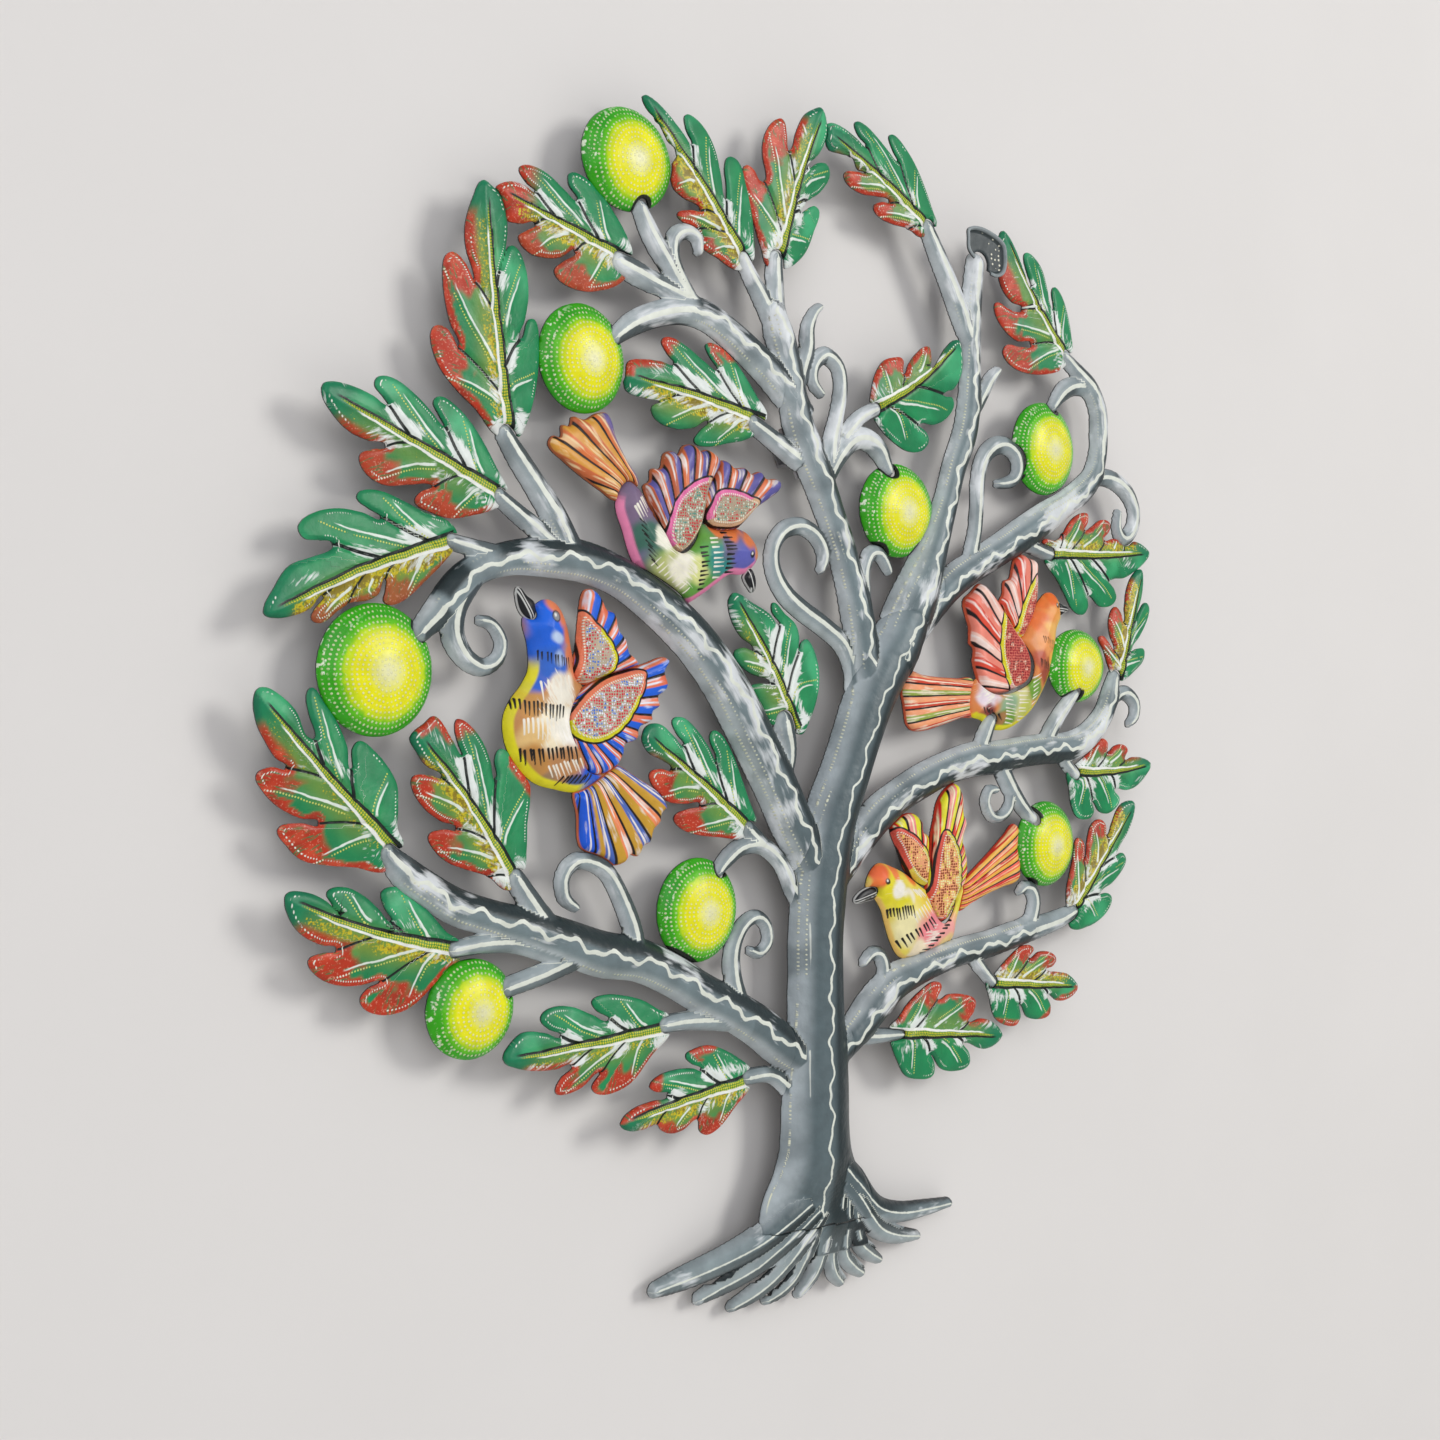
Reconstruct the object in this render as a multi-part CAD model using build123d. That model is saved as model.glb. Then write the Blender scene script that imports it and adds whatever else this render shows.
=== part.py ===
"""Painted steel tree-of-life wall disc: ribs, leaves, fruits and birds of hammered sheet, in mm.

+X right, +Z up, +Y into the wall; the wall is Y = 0 and the origin is the hanger's nail hole.
"""
import os
from math import ceil, dist, hypot

from build123d import *

SHEET = 1.2              # steel thickness
RIM = 1.4                # flat rim left along both edges of a hammered rib
STANDOFF = 16.0          # wall to the back of the flat sheet
HANGER_AT = (2.2, 121.6)   # nail hole, from the centre of the disc
HOLE_R = 3.0
STRAP = 1.6              # hanger strap thickness
STRAP_WIDTH, STRAP_FOOT = 12.0, 20.5
STRAP_RUN = (-0.454, 0.891)   # the strap lies along the crown limb
RIB_RISE = 0.92          # rib height per half width
RIB_HIGHEST, RIB_LOWEST = 13.5, 4.8
LEAF_RIDGE, LEAF_SLOPE = 5.6, 0.14
FRUIT_RISE, FRUIT_EDGE = 9.0, 2.0
BODY_RISE, WING_RISE = 8.5, 7.0
ARCH = [(-1, 0), (-0.74, 0.7), (-0.3, 0.97), (0.3, 0.97), (0.74, 0.7), (1, 0)]
HANDLE = 0.33            # Bezier handle per chord, so the cut outline stays smooth

# ---- Driving dimensions, in mm. Plan positions (x, z) are measured from the centre of the disc.
# Leaves: base and tip of the midrib, then the cut outline in order round the leaf.
LEAVES = {
    "leaf_01": ((-36, -184), (-115, -195),
        [(-36, -180), (-43, -174), (-52, -169), (-61, -166), (-71, -167), (-75.5, -169.5), (-72, -173.5),
         (-66, -177), (-72, -175.5), (-82, -175), (-92, -176.5), (-98, -180.5), (-95, -183.5), (-87, -186),
         (-97, -187.5), (-108, -189.5), (-116, -195), (-112, -199), (-103, -199.8), (-94, -198.5),
         (-91.5, -201.5), (-86, -204), (-78, -203.5), (-69, -199.5), (-67, -205.5), (-62, -208), (-54, -205),
         (-46, -197.5), (-36, -188)]),
    "leaf_02": ((-87, -154), (-180, -159),
        [(-87, -149.5), (-94, -145.5), (-102, -141), (-112, -138), (-123, -136.5), (-131, -138.5),
         (-129, -143), (-122, -148), (-132, -144.5), (-143, -140), (-154, -139.5), (-160, -143.5),
         (-156, -148.5), (-149, -152.5), (-158, -150), (-169, -148.5), (-176, -152), (-181, -159),
         (-174, -163.5), (-163, -166), (-152, -166.5), (-143, -166), (-149, -171), (-151.5, -177),
         (-146, -178.5), (-137, -176.5), (-126.5, -170.5), (-131, -177), (-127, -181), (-117, -181),
         (-107, -177), (-97, -166.5), (-87, -158)]),
    "leaf_03": ((-203, -110), (-286, -84),
        [(-203, -107), (-210, -102), (-217, -94.5), (-225, -86.5), (-233, -82), (-241, -83.5), (-240, -90),
         (-237, -96), (-243, -90.5), (-250, -84.5), (-259, -80.5), (-267, -82), (-265, -87), (-261, -91.5),
         (-268, -85.5), (-277, -81.5), (-286, -82), (-285, -90), (-279, -98), (-270, -103), (-262, -105.5),
         (-269, -106.5), (-275, -109), (-271, -115.5), (-262, -120), (-251, -121), (-241, -120),
         (-247, -122.5), (-250.5, -127), (-247, -132), (-238, -134.5), (-227, -132.5), (-217, -125),
         (-209, -117), (-203, -113.5)]),
    "leaf_04": ((-234, -68), (-299, -3),
        [(-231.5, -64), (-234, -58), (-233.5, -49), (-233.5, -40), (-238, -32), (-245, -25), (-251, -21.5),
         (-255, -25), (-256, -33), (-257.5, -24), (-262, -14), (-268, -6), (-273, 0), (-276, -3), (-275, -11),
         (-272.5, -20), (-277, -19), (-281, -10), (-288, -3.5), (-296, 0), (-300, -3), (-299, -13),
         (-295, -21), (-290, -28), (-285, -32), (-292, -31.5), (-298, -34.5), (-295, -41), (-288, -47.5),
         (-279, -52), (-270, -54.5), (-279, -54), (-288, -56), (-284, -63), (-277, -69), (-266, -71.5),
         (-253, -73), (-241, -75.5), (-236, -71)]),
    "leaf_05": ((-174, -83), (-225, -19),
        [(-170, -80), (-168, -70), (-167, -58), (-165, -48), (-165, -41), (-171, -34), (-176, -27.5),
         (-181, -25.5), (-184, -30), (-184, -38.5), (-186.5, -31), (-190, -23), (-196, -16), (-203, -12.5),
         (-205, -16), (-203.5, -23), (-201.5, -28.5), (-207, -21), (-215, -11.5), (-221, -14.5), (-228, -20),
         (-225, -26), (-220, -32), (-212, -37), (-219, -36), (-226, -36.5), (-226, -42), (-220, -50),
         (-212, -55.5), (-204, -59), (-211, -59), (-217.5, -61), (-216, -66), (-209, -72.5), (-199, -76.5),
         (-188, -80), (-178, -86.5)]),
    "leaf_06": ((-206, 64), (-295, 29),
        [(-205, 67), (-211, 71.5), (-220, 73.5), (-230, 77.5), (-241, 81), (-250, 80.5), (-252, 77),
         (-247, 73.5), (-241, 69.5), (-250, 71.5), (-261, 72.5), (-272, 70), (-279, 64.5), (-277, 59.5),
         (-270, 59), (-264, 58.5), (-265, 55.5), (-274, 52), (-284, 48), (-291, 39), (-296, 29), (-291, 27),
         (-282, 28.5), (-275, 31.5), (-269, 37), (-273, 31), (-274, 27), (-269, 26), (-262, 31), (-256, 34.5),
         (-249, 35.5), (-243, 38.5), (-240, 45.5), (-239.5, 40), (-240, 35.5), (-235, 34.5), (-228, 38),
         (-220, 45), (-212, 52.5), (-205, 61)]),
    "leaf_07": ((-180, 83), (-269, 119),
        [(-178, 85), (-184, 95), (-190, 105), (-197, 114), (-205, 120.5), (-212, 123), (-215.5, 120),
         (-213, 115), (-210.5, 110), (-217, 116), (-225, 122.5), (-234, 127.5), (-242, 128), (-244.5, 124),
         (-241, 120), (-238.5, 116), (-246, 119.5), (-257, 122.5), (-268, 122.5), (-270, 118), (-265, 110.5),
         (-257, 104), (-248, 101), (-239, 99.5), (-246, 97.5), (-251.5, 94.5), (-248, 87.5), (-239, 83.5),
         (-228, 84.5), (-216, 85), (-222, 82), (-224.5, 77.5), (-217, 74), (-207, 72), (-196, 74), (-186, 77),
         (-179, 81)]),
    "leaf_08": ((-178, 110), (-191, 215),
        [(-173, 109), (-168, 116), (-164, 126), (-161.5, 137), (-160.5, 150), (-162, 161), (-166.5, 161),
         (-171.5, 152), (-168.5, 161), (-166.5, 171), (-167.5, 182), (-172, 190.5), (-177, 191.5),
         (-180.5, 185), (-183, 180), (-179.5, 190), (-178.5, 201), (-182, 212), (-187, 215.5), (-192, 217),
         (-196, 210), (-200, 197), (-199.5, 187), (-195.5, 174), (-200, 180.5), (-206, 184.5), (-210, 181),
         (-210, 168), (-207, 155), (-202.5, 145), (-208, 151.5), (-214, 152.5), (-216, 147), (-212, 136),
         (-204, 127), (-194, 119), (-184, 109)]),
    "leaf_09": ((-110, 195), (-183, 214),
        [(-109, 199), (-113, 208), (-119, 216), (-127, 224), (-135, 229), (-143, 229.5), (-144, 224),
         (-139.5, 217.5), (-147, 221), (-156, 226.5), (-166, 228.5), (-171.5, 226), (-168, 220.5),
         (-163, 217), (-170, 219), (-178, 219), (-185, 214.5), (-182.5, 206.5), (-179, 202.5), (-171, 202),
         (-163, 203.5), (-168, 199.5), (-172, 196), (-166, 190.5), (-157, 189.5), (-149, 191), (-141, 195),
         (-148, 189), (-152, 184.5), (-147, 180), (-136, 178), (-125, 180), (-116, 184), (-111, 190)]),
    "leaf_10": ((-38, 205), (-102, 270),
        [(-34, 207), (-33, 218), (-34, 230), (-37, 243), (-41, 253), (-48, 254.5), (-51, 249), (-50.5, 240),
         (-52, 233), (-54, 243), (-57, 255), (-62, 263), (-69, 268), (-76, 268.5), (-76, 262), (-72.5, 255),
         (-78, 259), (-87, 266), (-96, 271), (-103, 271.5), (-101, 266.5), (-94, 261.5), (-88, 254),
         (-82, 249.5), (-85, 243), (-84, 234), (-77, 229.5), (-67, 226), (-74, 224.5), (-80.5, 222),
         (-77, 218.5), (-70, 216.5), (-65, 208.5), (-56, 205), (-46, 201), (-39, 202)]),
    "leaf_11": ((-18, 208), (11, 287),
        [(-12, 206.5), (-4, 211), (3, 218), (8, 228), (12, 238), (8, 240.5), (2, 237.5), (-2, 235.5), (3, 242),
         (12, 248), (19, 257), (17, 262.5), (10, 262), (3, 259), (9, 265), (14, 272), (16, 280), (12, 289),
         (6, 287.5), (0, 283), (-5, 274), (-9.5, 264.5), (-11, 272), (-13, 279), (-19, 277), (-24.5, 269),
         (-26, 260), (-24, 248.5), (-28, 246.5), (-32, 251.5), (-37, 252.5), (-38, 246), (-35.5, 236),
         (-32, 225), (-28, 214), (-24, 206)]),
    "leaf_12": ((93, 242), (16, 278),
        [(97, 245), (94, 253), (89, 264), (83, 274), (76, 281.5), (68, 287), (63, 286), (65.5, 279),
         (69, 273.5), (61, 278), (53, 283.5), (44, 288), (37, 287.5), (39, 281.5), (45, 276.5), (37, 279.5),
         (27, 283), (17, 283), (15, 277.5), (17, 270.5), (26, 269.5), (34, 269), (38, 264), (45, 263.5),
         (36, 262.5), (29, 260.5), (32, 255.5), (42, 252.5), (53, 253), (62, 252), (55, 250.5), (50.5, 247.5),
         (55, 243), (65, 241), (76, 240.5), (85, 237.5), (91, 240.5)]),
    "leaf_13": ((-27, 131), (-113, 143),
        [(-25, 134), (-31, 142), (-38, 151), (-46, 159), (-55, 164), (-62.5, 163.5), (-60, 157.5),
         (-56, 152), (-64, 155), (-74, 160.5), (-84, 164), (-90, 162), (-87, 156), (-83, 151.5), (-92, 152),
         (-103, 151.5), (-111, 149.5), (-114, 142), (-112, 136), (-102, 134), (-91, 134), (-85, 136),
         (-92, 133), (-97, 130), (-93, 124.5), (-82, 122), (-71, 123.5), (-62, 127.5), (-67, 122.5),
         (-70, 117), (-62, 115.5), (-50, 118), (-38, 121), (-28, 127)]),
    "leaf_14": ((49, 144), (113, 186),
        [(47, 147), (49, 156), (52, 163), (58, 170), (66, 173), (72, 172.5), (72, 165), (76, 170.5),
         (83, 177.5), (91, 181.5), (92.5, 176), (93, 170.5), (98, 175.5), (104, 182.5), (113, 187.5),
         (117, 180), (117.5, 171), (112, 162), (104, 158), (111, 157), (112.5, 152.5), (107, 146),
         (97, 141.5), (85, 140.5), (91, 137), (93.5, 132.5), (88, 127), (77, 126), (66, 129.5), (57, 134),
         (50, 140)]),
    "leaf_15": ((206, 188), (150, 249),
        [(210, 193), (210, 203), (207.5, 215), (203, 224), (197, 228), (194, 225), (194.5, 214.5),
         (191, 217), (189, 226), (185, 236), (178, 241.5), (171, 243), (168.5, 239.5), (171, 232),
         (174, 224), (168, 231), (161, 242), (154, 249.5), (149, 251), (146.5, 244), (147, 231),
         (151, 221), (159, 214.5), (168, 211.5), (158, 210), (147, 212.5), (147.5, 206), (155, 198.5),
         (165, 194), (176.5, 193.5), (166, 191), (157, 191), (154.5, 186), (162, 180), (174, 177.5),
         (189, 178.5), (202, 183)]),
    "leaf_16": ((188, 79), (279, 84),
        [(185, 86), (195, 86.5), (202, 90), (208, 96.5), (216, 102), (226, 104), (226, 99), (223, 94.5),
         (230, 97), (238, 101), (246, 100), (245, 95), (240, 90), (249, 91), (258, 89.5), (268, 90.5),
         (276, 88.5), (281, 84), (277, 78.5), (268, 73), (259, 69), (246, 66.5), (250.5, 62), (253, 57),
         (248, 52.5), (238, 52), (227, 57.5), (227.5, 51), (223, 46.5), (214, 49), (206, 57), (197, 66),
         (187, 74)]),
    "leaf_17": ((253, 11), (273, 73),
        [(249, 11), (244, 18), (240.5, 27), (236.5, 33.5), (240, 35), (244.5, 31.5), (249.5, 27),
         (246, 36), (245.5, 45), (250.5, 52), (255, 49), (258, 43), (259, 52), (261, 62), (266, 70.5),
         (273, 74.5), (275.5, 68), (274, 58), (268.5, 45.5), (273, 50.5), (279, 55.5), (283.5, 52.5),
         (281, 44.5), (273.5, 35.5), (265, 27.5), (272, 28.5), (279, 28), (278.5, 22), (270, 16),
         (256, 9.5)]),
    "leaf_18": ((208, -42), (281, -39),
        [(206, -41), (214, -37.5), (222, -33.5), (231, -27.5), (239, -23.5), (244, -26), (243.5, -31),
         (250, -28), (257, -27), (262, -30), (259, -35.5), (266, -34.5), (275, -35), (282.5, -39),
         (278, -46), (270, -51.5), (261, -53.5), (250, -53), (255, -58), (253.5, -62.5), (245, -66.5),
         (237, -65), (229.5, -59), (232, -65), (228, -69), (218, -68), (212, -62), (208, -51)]),
    "leaf_19": ((209, -122), (265, -62),
        [(206, -120), (206, -109), (209, -100), (213, -90), (215.5, -81), (219, -79.5), (222.5, -84),
         (222, -92), (225, -82), (229, -73), (236, -69.5), (241, -72.5), (242, -79), (247, -72),
         (253, -63.5), (260, -60), (266.5, -60.5), (267, -67), (262, -77), (250, -91), (257, -89.5),
         (261.5, -94), (257, -100.5), (248, -106.5), (236.5, -111.5), (244, -112), (249, -115.5),
         (246, -121.5), (237, -127), (225, -130), (211, -130)]),
    "leaf_20": ((138, -154), (213, -162),
        [(137, -153), (144, -149.5), (151, -145), (160, -140), (169, -136.5), (178, -138.5), (174, -143.5),
         (182, -141), (191, -141.5), (197, -145.5), (193.5, -149.5), (188, -151), (197, -153), (206, -155),
         (213, -160.5), (213.5, -165), (206, -169), (197, -169), (188, -165), (191.5, -171), (191, -176.5),
         (182, -178), (172, -175.5), (165, -168), (166.5, -175), (163, -179.5), (153, -178), (145, -173),
         (140, -163)]),
    "leaf_21": ((58, -173), (147, -183),
        [(60, -171), (68, -166), (76, -159.5), (86, -154), (97, -150), (103, -152.5), (99.5, -159),
         (108, -157.5), (119, -158.5), (129, -162.5), (127, -168.5), (122.5, -173), (132, -172.5),
         (141, -175), (148.5, -182), (145, -187), (134, -189), (118, -184), (123, -190), (123.5, -196.5),
         (114, -198.5), (102, -196), (92, -186), (96, -192.5), (95.5, -199), (85, -199.5), (75, -196.5),
         (68, -188), (62, -178)]),
    "leaf_22": ((-5, -17), (-48, 46),
        [(-1, -20), (5, -12), (10, -3), (12.5, 7), (11, 18), (5, 26.5), (0, 25), (-2, 21), (-1.5, 28),
         (-4, 34), (-11, 38.5), (-19, 44), (-20.5, 39.5), (-15, 33), (-23, 38.5), (-34, 43), (-46, 47.5),
         (-50, 44), (-48, 35), (-42, 27), (-33, 20.5), (-40, 21.5), (-45.5, 19), (-42, 13.5), (-34, 9),
         (-22, 5), (-30, 4.5), (-37, 2), (-36, -4), (-31, -12), (-22, -15), (-10, -17)]),
    "leaf_23": ((-35, -66), (-102, -19),
        [(-32, -62), (-36.5, -51), (-41, -40), (-46, -29), (-52, -20.5), (-58, -18), (-60.5, -22),
         (-57, -32), (-62, -25.5), (-69, -17.5), (-77, -12), (-84, -13), (-82, -19), (-77.5, -25),
         (-84, -20.5), (-92, -15), (-100, -15.5), (-103.5, -21), (-99, -28), (-91, -31.5), (-85, -36),
         (-92, -35.5), (-98, -37.5), (-95, -44), (-87, -50.5), (-77, -52), (-67, -52.5), (-75, -54.5),
         (-82.5, -58), (-78, -63.5), (-67, -67), (-54, -68.5), (-42, -70), (-35, -69)]),
}
# Fruits: centre (x, z), half width, half height.
FRUITS = {
    "fruit_1": (-110.5, 241.5, 26, 23.5), "fruit_2": (-136.5, 148, 24, 24.5), "fruit_3": (-243.5, 7.5, 27.5, 27.5),
    "fruit_4": (-196.5, -136, 22.5, 21.5), "fruit_5": (-68, -102, 24.5, 24.5), "fruit_6": (68.5, 94.5, 27, 24),
    "fruit_7": (187, 137, 26, 25.5), "fruit_8": (216, 17.5, 24.5, 20.5), "fruit_9": (188.5, -81.5, 24.5, 23.5),
}
# Birds: cut outlines of the near wing, far wing, beak, body with head, and tail.
BIRDS = {
    "bird_purple": {
        "near_wing": [(-90, 72), (-94, 79), (-99, 88), (-101, 94), (-97.5, 96.5), (-96.5, 102), (-91, 103),
                      (-89, 109.5), (-84, 111.5), (-80.5, 110), (-77, 114.5), (-71, 115.5), (-67, 113),
                      (-62, 114), (-56, 111), (-55, 107), (-59, 101), (-63, 94), (-65, 85), (-68, 76),
                      (-74, 68), (-81, 64), (-87, 66)],
        "far_wing": [(-62, 78), (-64, 88), (-62, 97), (-58, 104), (-54, 109.5), (-49, 109.5), (-45, 107),
                     (-38, 107.5), (-34, 105), (-28, 106.5), (-24, 103.5), (-16, 103.5), (-15, 99), (-22, 94),
                     (-31, 88.5), (-38, 82), (-45, 77.5)],
        "beak": [(-37.5, 57.5), (-34.5, 60), (-31.5, 57), (-30.5, 52), (-32.5, 48), (-36, 50.5), (-39, 55)],
        "body": [(-64, 79), (-50, 78.5), (-38, 77), (-31, 71.5), (-29.5, 65), (-34, 59.5), (-40, 56.5),
                 (-48, 56), (-56, 51.5), (-66, 45.5), (-77, 40.5), (-86, 42), (-97, 49), (-107, 59),
                 (-113, 73), (-117, 85), (-111, 95), (-103, 92), (-95, 82), (-84, 79)],
        "tail": [(-117, 86), (-126, 90), (-137, 95.5), (-147, 101.5), (-155, 107.5), (-153, 112),
                 (-148.5, 112), (-148, 117), (-143.5, 117.5), (-142, 121.5), (-135, 121), (-128, 124.5),
                 (-121.5, 124.5), (-117, 114), (-111, 105), (-104, 95.5), (-108, 90)],
    },
    "bird_blue": {
        "near_wing": [(-148, -13), (-145, -6), (-137, 1), (-126, 6), (-113, 9.5), (-100, 13), (-90, 16),
                      (-86.5, 14.5), (-89, 9), (-87.5, 3.5), (-89, 0), (-93, -2.5), (-92.5, -7),
                      (-96.5, -9.5), (-97, -13.5), (-104, -16.5), (-106, -22), (-113, -24.5), (-114, -29),
                      (-118, -34), (-127, -37.5), (-136, -35.5), (-141, -28), (-146, -21)],
        "far_wing": [(-142, 8), (-140, 20), (-138.5, 33), (-136, 44), (-131, 45.5), (-126, 42), (-123, 37),
                     (-118, 35), (-116, 28), (-112, 24), (-110, 18), (-106, 15), (-104, 11), (-115, 6),
                     (-128, 3), (-137, 3)],
        "beak": [(-162.5, 38), (-163.5, 31), (-170, 33), (-173, 41), (-171.5, 45), (-167, 41.5)],
        "body": [(-162, 37.5), (-156, 40), (-149.5, 37), (-145, 29), (-142.5, 18), (-139, 6), (-130, -6),
                 (-123, -20), (-121, -34), (-128, -40), (-140, -45), (-152, -43.5), (-163, -40.5),
                 (-172, -33), (-178, -24), (-179.5, -13), (-176, -5), (-170, 2), (-166, 9), (-166.5, 20),
                 (-169, 31)],
        "tail": [(-141, -44), (-139.5, -55), (-138, -69), (-130, -73.5), (-120, -78.5), (-112, -77.5),
                 (-109, -74.5), (-104, -75), (-101, -70.5), (-97, -69), (-95, -63.5), (-91, -60), (-90, -56),
                 (-87, -53), (-93, -45.5), (-104, -39.5), (-117, -33), (-123, -34), (-131, -41)],
    },
    "bird_orange": {
        "near_wing": [(133, 5), (130, 11), (127.5, 18), (128, 25), (124.5, 28), (124.5, 36), (122, 42),
                      (120, 50), (126, 55), (133, 60), (140, 56.5), (147, 50.5), (152, 45), (160, 36.5),
                      (168, 29), (173, 19), (171, 9), (162, 4), (150, 1), (140, 1)],
        "far_wing": [(158, 35), (154, 44), (149, 50), (152, 55), (153, 62), (158, 64), (160, 70),
                     (163, 76.5), (169, 77.5), (173, 76), (180, 74), (180.5, 66), (180, 56), (177, 46),
                     (172, 38), (165, 31)],
        "beak": [(200, 52.5), (204, 51.5), (209, 49.5), (205, 46.5), (200.5, 45.5)],
        "body": [(178, 47), (184, 53.5), (190, 57.5), (196, 57), (200.5, 52), (202, 45), (198, 37.5),
                 (196.5, 28), (193, 16), (187, 5), (178, -6), (167, -13.5), (155, -18), (144, -18),
                 (134, -13), (126, -10.5), (125, -2), (128, 7), (140, 14), (155, 24), (168, 36)],
        "tail": [(128, 8), (115, 9), (100, 9.5), (88, 10.5), (78, 12.5), (73, 9), (71.5, 2), (73, -4),
                 (74, -9), (75.5, -15), (80, -18.5), (90, -18.5), (104, -15.5), (118, -12), (129, -10)],
    },
    "bird_yellow": {
        "near_wing": [(90, -104), (91, -94), (93, -84), (94, -74), (96.5, -65), (99, -56.5), (104, -50.5),
                      (111, -46.5), (114.5, -47.5), (117.5, -53), (118, -61), (120.5, -68), (117.5, -76),
                      (119.5, -82), (121, -91), (119, -99), (112.5, -107), (108, -115), (101, -119.5),
                      (94, -116)],
        "far_wing": [(63.5, -68.5), (68, -64.5), (74, -61.5), (81, -61.5), (86.5, -65.5), (87.5, -71),
                     (91, -73), (92, -80), (92, -90), (90, -99), (82, -96), (74, -90), (69, -80)],
        "beak": [(52, -98), (44, -98.5), (37, -103), (38, -105.5), (46, -105), (53, -103)],
        "body": [(46, -96), (49, -90), (55, -86), (64, -88), (75, -92.5), (84, -98), (92, -102), (104, -104),
                 (114, -103), (119, -101), (118, -108), (114, -119), (111, -128), (102, -133), (90, -136.5),
                 (79, -137), (70, -134.5), (64, -127), (60, -118), (57, -110), (52, -103.5), (47, -100)],
        "tail": [(119, -99), (130, -91.5), (142, -83.5), (153, -75.5), (162, -69.5), (166, -78), (166, -90),
                 (165, -100), (152, -103.5), (140, -106.5), (127, -110.5), (115, -114), (114, -106)],
    },
}
# Wood: each node is a list of hammered ribs; a rib is its centre line and half width (x, z, w).
TRUNK = [(8.5, -262, 38), (9, -250, 32), (9, -240, 28), (9.3, -228, 24.5), (9.3, -214, 23), (9.3, -198, 22.7),
         (9.3, -180, 21.5), (9.3, -160, 19), (9.2, -140, 18), (9.2, -120, 18), (11, -100, 18.5), (14, -80, 18.5),
         (20, -60, 17), (29.5, -40, 16), (38.5, -20, 16), (48, 0, 17), (58, 15, 17.5), (67, 26, 17)]
ROOTS = {
    "root_left": [
        [(-12, -256, 9), (-29, -264, 8), (-48, -270, 7), (-70, -275.5, 6), (-85, -279, 4)],
        [(-6, -262, 8), (-29, -276, 6.5), (-46, -283, 5.5), (-58, -288, 3.5)],
        [(2, -266, 7), (-13, -282, 5.5), (-25, -290.5, 5), (-37, -296, 3)]],
    "root_middle": [
        [(6, -266, 7), (0, -285, 5), (-7, -293, 4.5), (-14, -297, 3)],
        [(17, -266, 6), (15, -285, 5), (11, -293.5, 4.5), (8, -298, 3)],
        [(24, -262, 6), (23, -279, 4.5), (28, -290, 4.3), (37, -297.5, 3)]],
    "root_right": [
        [(30, -262, 6), (32, -280, 4.5), (41, -289, 4.3), (52, -295.5, 3)],
        [(36, -260, 6), (42, -276, 4.5), (52, -284, 4.5), (65, -291, 3)],
        [(38, -254, 8), (55, -271, 6), (73, -279, 5), (94, -284, 3)],
        [(36, -246, 9), (53, -260.5, 6.5), (73, -267, 5.5), (97, -269.5, 4.5), (119, -271, 3)]],
}
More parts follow.
